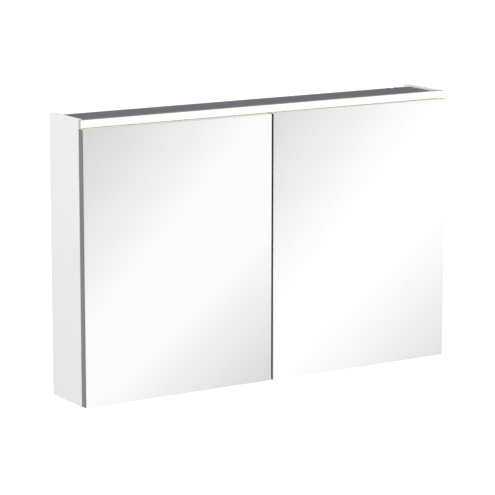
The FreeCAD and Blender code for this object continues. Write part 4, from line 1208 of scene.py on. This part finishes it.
@dataclass
class Door(Sided):
    """A mirror door: mitred metal edge, core, two mirrors and the hinge cups. Sizes in millimetres."""

    wall: float = 1.5
    mitre_gap: float = 0.12
    edge_round: float = 0.3
    arris: float = 1.0
    rear_round: float = 0.5
    cup_round: float = 0.25

    def build_edge(self) -> None:
        """Builds the four rails of the edge, mitred at the corners, with the grain along each."""
        low, high = box_of(self.own("door_frame"))
        w, g = self.wall, self.mitre_gap / 2
        rails = []
        for vertical in (False, True):
            a, b = (low.z, high.z) if vertical else (low.x, high.x)
            for outer, inner in ((low, 1), (high, -1)):
                edge = outer.x if vertical else outer.z
                inside = edge + inner * w
                ends = [(a + g, edge), (b - g, edge), (b - g - w, inside), (a + g + w, inside)]
                rail = prism([(q, p) if vertical else (p, q) for p, q in ends], low.y, high.y)
                bevel(rail, self.edge_round)
                along = rail.loops.layers.uv.new("along")
                for face in rail.faces:
                    for loop in face.loops:
                        x, z, y = loop.vert.co
                        run = (z, x + y) if vertical else (x, z + y)
                        loop[along].uv = (run[0] * MM, run[1] * MM)
                rails.append(rail)
        upright = Matrix(((1, 0, 0, 0), (0, 0, 1, 0), (0, 1, 0, 0), (0, 0, 0, 1)))
        piece = solid(self.own("mitred_edge"), together(*rails), upright)
        self.fit(smooth(piece), EDGE, "frame_metal", self.own("door_frame"))

    def build_pane(self) -> None:
        """Builds the front mirror with a polished arris all round its face."""
        low, high = box_of(self.own("front_mirror"))
        pane = block(low.to_tuple(), high.to_tuple())
        middle = (low.y + high.y) / 2
        face = [e for e in pane.edges if all(v.co.y < middle for v in e.verts)]
        bmesh.ops.bevel(pane, geom=face, offset=self.arris, segments=1, affect="EDGES")
        piece = solid(self.own("polished_mirror"), pane)
        self.fit(piece, MIRROR, "mirror_glass", self.own("front_mirror"))

    def dress_panes(self) -> None:
        """Gives the core, the rear mirror and the hinge cups their finishes, and sets the cup screws."""
        self.dress(CORE, self.own("door_core"))
        self.soften(self.own("rear_mirror"), MIRROR, "mirror_glass", self.rear_round)
        self.soften(self.own("hinge_cups"), NICKEL, "nickel", self.cup_round)
        self.dress(NICKEL, self.own("hinge_pins"))
        flush = Screw(head_height=0.7, shank_length=10.0, flush=True)
        flush.set_in(self.own("cup_screws"), self, Facing.REAR, ZINC, "zinc_steel")


@dataclass
class Studio:
    """Pale floor, white surroundings, soft lamps, a tent and cards for the mirrors, and the camera.

    Sizes in metres. The tent's foot and shoulder are a share of its radius and a height, and its levels
    those of the dark bands and the rear. The leans and fades of the cards say how their grey corners run
    out.
    """

    floor_height: float = -2.1
    floor_reach: float = 60.0
    floor_glow: float = 0.55
    ambient: float = 0.86
    tent_radius: float = 5.8
    tent_height: float = 3.4
    tent_sides: int = 48
    tent_clear: float = 0.01
    tent_foot: Pair = (0.85, 0.6)
    tent_shoulder: Pair = (0.8, 1.0)
    tent_levels: Pair = (0.62, 0.42)
    tent_fade: float = 0.5
    band_width: float = 2.2
    card_away: float = 3.5
    card_leans: Pair = (0.44, 0.36)
    card_fades: Pair = (0.42, 0.36)
    card_margin: float = 0.5
    card_clear: float = 0.06
    card_overlap: float = 0.003
    lamp_aim: Triple = (0.0, -0.1, -0.27)
    camera_at: Triple = (-3.0158, -4.8815, 0.8131)
    yaw: float = 0.5581
    pitch: float = 0.19223
    roll: float = -0.0008
    lens: float = 176.63
    sensor: float = 36.0
    farthest: float = 200.0

    def seen(self, tree: Tree) -> Socket:
        """Tells what is looked at from what only gives light.

        Args:
            tree: Node tree of the material or the world.

        Returns:
            1 for rays from the camera, from mirrors and through glass.
        """
        path = add(tree, "ShaderNodeLightPath").outputs
        two = {0: path["Is Camera Ray"], 1: path["Is Glossy Ray"]}
        either = add(tree, "ShaderNodeMath", two, operation="MAXIMUM").outputs[0]
        three = {0: either, 1: path["Is Transmission Ray"]}
        return add(tree, "ShaderNodeMath", three, operation="MAXIMUM").outputs[0]

    def world(self) -> None:
        """Makes the surroundings: white to look at, softer as light."""
        made = bpy.data.worlds.new("white_surroundings")
        bpy.context.scene.world = made
        tree = emptied(made)
        white = add(tree, "ShaderNodeBackground", {"Color": (1, 1, 1, 1), "Strength": 1.0}).outputs[0]
        soft = {"Color": linear("#fbfcff"), "Strength": self.ambient}
        ambient = add(tree, "ShaderNodeBackground", soft).outputs[0]
        mixed = add(tree, "ShaderNodeMixShader", {0: self.seen(tree), 1: ambient, 2: white})
        add(tree, "ShaderNodeOutputWorld", {"Surface": mixed.outputs[0]})

    def sheet(self, name: str, low: Pair, high: Pair) -> Piece:
        """Makes a flat sheet in XY.

        Args:
            name: Name of the sheet.
            low: X and Y of one corner.
            high: X and Y of the opposite corner.

        Returns:
            The sheet.
        """
        data = bpy.data.meshes.new(name)
        corners = [(*low, 0.0), (high[0], low[1], 0.0), (*high, 0.0), (low[0], high[1], 0.0)]
        data.from_pydata(corners, [], [(0, 1, 2, 3)])
        return put(name, data)

    def paint(self, made: Piece, name: str) -> Tree:
        """Gives an object a material of its own.

        Args:
            made: The object.
            name: Name of the material.

        Returns:
            The material's empty node tree.
        """
        coat = bpy.data.materials.new(name)
        made.data.materials.append(coat)
        return emptied(coat)

    def floor(self) -> None:
        """Lays the floor, which looks white and still takes the shadow, and is clear from below."""
        reach = self.floor_reach
        made = self.sheet("studio_floor", (-reach, -reach), (reach, reach))
        made.location.z = self.floor_height
        tree = self.paint(made, "pale_floor")
        matt = add(tree, "ShaderNodeBsdfDiffuse", {"Color": linear("#ececec")}).outputs[0]
        glow = add(tree, "ShaderNodeEmission", {"Color": (1, 1, 1, 1), "Strength": self.floor_glow})
        both = add(tree, "ShaderNodeAddShader", {0: matt, 1: glow.outputs[0]}).outputs[0]
        mixed = add(tree, "ShaderNodeMixShader", {0: self.seen(tree), 1: matt, 2: both}).outputs[0]
        under = add(tree, "ShaderNodeNewGeometry").outputs["Backfacing"]
        gone = add(tree, "ShaderNodeBsdfTransparent").outputs[0]
        whole = add(tree, "ShaderNodeMixShader", {0: under, 1: mixed, 2: gone})
        add(tree, "ShaderNodeOutputMaterial", {"Surface": whole.outputs[0]})

    def for_mirrors(self, made: Piece) -> None:
        """Hides a stage object from all but mirrors and glossy faces."""
        made.visible_camera = made.visible_diffuse = made.visible_shadow = made.visible_transmission = False

    def tent(self) -> None:
        """Sets up the tent that glossy faces see: soft slanting bands, grey behind the cabinet."""
        r, low, high = self.tent_radius, self.floor_height + self.tent_clear, self.tent_height
        foot, rise = self.tent_foot
        shoulder, drop = self.tent_shoulder
        profile = [(0.0, low), (foot * r, low), (r, low + rise), (r, high - drop), (shoulder * r, high),
                   (0.0, high)]
        data = bpy.data.meshes.new("light_tent")
        build = turned(profile, self.tent_sides)
        build.to_mesh(data)
        build.free()
        made = put("light_tent", data)
        tree = self.paint(made, "tent_light")
        place = add(tree, "ShaderNodeTexCoord").outputs["Object"]
        wave = {"Vector": place, "Scale": DIAGONAL_WAVE / self.band_width, "Distortion": 0.0}
        bands = add(tree, "ShaderNodeTexWave", wave, bands_direction="DIAGONAL").outputs["Fac"]
        dark, rear = self.tent_levels
        front = add(tree, "ShaderNodeMapRange", {"Value": bands, "To Min": dark}).outputs[0]
        parts = add(tree, "ShaderNodeSeparateXYZ", {0: place}).outputs
        behind = {"Value": parts["Y"], "From Max": self.tent_fade * r, "To Min": 1.0, "To Max": rear}
        both = {0: front, 1: add(tree, "ShaderNodeMapRange", behind).outputs[0]}
        level = add(tree, "ShaderNodeMath", both, operation="MULTIPLY").outputs[0]
        glow = add(tree, "ShaderNodeEmission", {"Color": level})
        add(tree, "ShaderNodeOutputMaterial", {"Surface": glow.outputs[0]})
        self.for_mirrors(made)

    def on_card(self, x: float, z: float) -> Pair:
        """Finds the point of the card that the camera sees in the doors.

        Args:
            x: Place across the doors.
            z: Height on the doors.

        Returns:
            X and Z on the card.
        """
        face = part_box("left_front_mirror")[0].y
        behind = 2 * face - self.camera_at[1]
        scale = (behind + self.card_away) / (behind - face)
        return (self.camera_at[0] + scale * (x - self.camera_at[0]),
                self.camera_at[2] + scale * (z - self.camera_at[2]))

    def card(self, name: str, box: Box, darks: Pair, pale: float) -> None:
        """Hangs a card that only mirrors see: a soft diagonal from grey to white to grey over one door.

        Its three free borders fade out, and the fourth meets the other card behind the gap of the doors.

        Args:
            name: Name of the card.
            box: Corners of the door's mirror.
            darks: Levels at the upper left and the lower right of the door, as shares of the pale one.
            pale: Level of the pale diagonal.
        """
        low, high = box
        free = -1 if high.x < 0.0 else 1
        outer, gap = (low.x, high.x) if free < 0 else (high.x, low.x)
        away, near = self.card_margin, self.card_clear
        edge = self.on_card(outer + free * away, high.z + away)
        core = self.on_card(outer + free * near, high.z + near)
        seam = self.on_card(gap - free * self.card_overlap, low.z - near)
        p, q = self.on_card(low.x, high.z), self.on_card(high.x, low.z)
        ground = self.floor_height
        made = self.sheet(name, (min(edge[0], seam[0]), ground), (max(edge[0], seam[0]), edge[1]))
        made.rotation_euler = (math.pi / 2, 0.0, 0.0)
        made.location.y = -self.card_away
        tree = self.paint(made, name + "_light")
        place = add(tree, "ShaderNodeTexCoord").outputs["Object"]
        parts = add(tree, "ShaderNodeSeparateXYZ", {0: place}).outputs
        level = 1.0
        corners = zip((p, q), (q, p), self.card_leans, self.card_fades, darks)
        for first, last, lean, reach, dark in corners:
            across = {"Value": parts["X"], "From Min": first[0], "From Max": last[0], "To Max": lean}
            down = {"Value": parts["Y"], "From Min": first[1], "From Max": last[1], "To Max": 1.0 - lean}
            total = add(tree, "ShaderNodeMath", {
                0: add(tree, "ShaderNodeMapRange", across).outputs[0],
                1: add(tree, "ShaderNodeMapRange", down).outputs[0],
            }, operation="ADD").outputs[0]
            fade = {"Value": total, "From Max": reach, "To Min": dark}
            share = add(tree, "ShaderNodeMapRange", fade).outputs[0]
            level = add(tree, "ShaderNodeMath", {0: level, 1: share}, operation="MULTIPLY").outputs[0]
        there = 1.0
        borders = (("X", edge[0], core[0]), ("Y", edge[1], core[1]), ("Y", ground, seam[1]))
        for axis, border, full in borders:
            soft = {"Value": parts[axis], "From Min": border, "From Max": full}
            share = add(tree, "ShaderNodeMapRange", soft, interpolation_type="SMOOTHSTEP").outputs[0]
            there = add(tree, "ShaderNodeMath", {0: there, 1: share}, operation="MULTIPLY").outputs[0]
        glow = add(tree, "ShaderNodeEmission", {"Color": level, "Strength": pale}).outputs[0]
        gone = add(tree, "ShaderNodeBsdfTransparent").outputs[0]
        mixed = add(tree, "ShaderNodeMixShader", {0: there, 1: gone, 2: glow})
        add(tree, "ShaderNodeOutputMaterial", {"Surface": mixed.outputs[0]})
        self.for_mirrors(made)

    def lamp(self, name: str, at: Triple, size: float, watts: float) -> None:
        """Hangs a soft square lamp that looks at the cabinet.

        Args:
            name: Name of the lamp.
            at: Its place.
            size: Length of its sides.
            watts: Its power.
        """
        data = bpy.data.lights.new(name, "AREA")
        data.size = size
        data.energy = watts
        made = put(name, data)
        made.location = at
        made.visible_glossy = False
        made.rotation_euler = (Vector(self.lamp_aim) - Vector(at)).to_track_quat("-Z", "Y").to_euler()

    def camera(self) -> None:
        """Sets up the camera at the photo's place."""
        data = bpy.data.cameras.new("camera")
        data.sensor_width = self.sensor
        data.lens = self.lens
        data.clip_end = self.farthest
        made = put("camera", data)
        level = math.cos(self.pitch)
        ahead = Vector((math.sin(self.yaw) * level, math.cos(self.yaw) * level, -math.sin(self.pitch)))
        right = Vector((math.cos(self.yaw), -math.sin(self.yaw), 0.0))
        down = ahead.cross(right)
        tilted = right * math.cos(self.roll) + down * math.sin(self.roll)
        under = down * math.cos(self.roll) - right * math.sin(self.roll)
        turn = Matrix((tilted, -under, -ahead)).transposed()
        made.matrix_world = Matrix.Translation(self.camera_at) @ turn.to_4x4()
        bpy.context.scene.camera = made

    def build(self) -> None:
        """Sets up the whole studio."""
        bpy.context.scene.view_settings.view_transform = "Standard"
        self.world()
        self.floor()
        self.tent()
        self.card("left_card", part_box("left_front_mirror"), darks=(0.69, 0.72), pale=1.0)
        self.card("right_card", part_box("right_front_mirror"), darks=(0.72, 0.76), pale=1.04)
        self.lamp("left_softbox", at=(-2.3, -0.9, 1.3), size=1.6, watts=21.0)
        self.lamp("top_softbox", at=(-0.7, -1.2, 3.2), size=2.4, watts=26.0)
        self.camera()


def main() -> None:
    """Builds and dresses the cabinet, piece by piece, and sets up the studio."""
    logging.basicConfig(level=logging.INFO, format="%(message)s")
    carcass = Carcass()
    carcass.dress_boards()
    carcass.build_dowels()
    carcass.build_pins()
    carcass.build_bumpers()
    light = LightBar()
    light.dress_profile()
    light.build_leds()
    bay = ElectricsBay()
    bay.dress_bay()
    bay.build_terminals()
    bay.build_driver()
    bay.build_switch()
    for side, body in ((Side.LEFT, Body.LEFT_DOOR), (Side.RIGHT, Body.RIGHT_DOOR)):
        Hinges(side=side).build()
        door = Door(body, side)
        door.build_edge()
        door.build_pane()
        door.dress_panes()
    Studio().build()


if __name__ == "__main__":
    main()
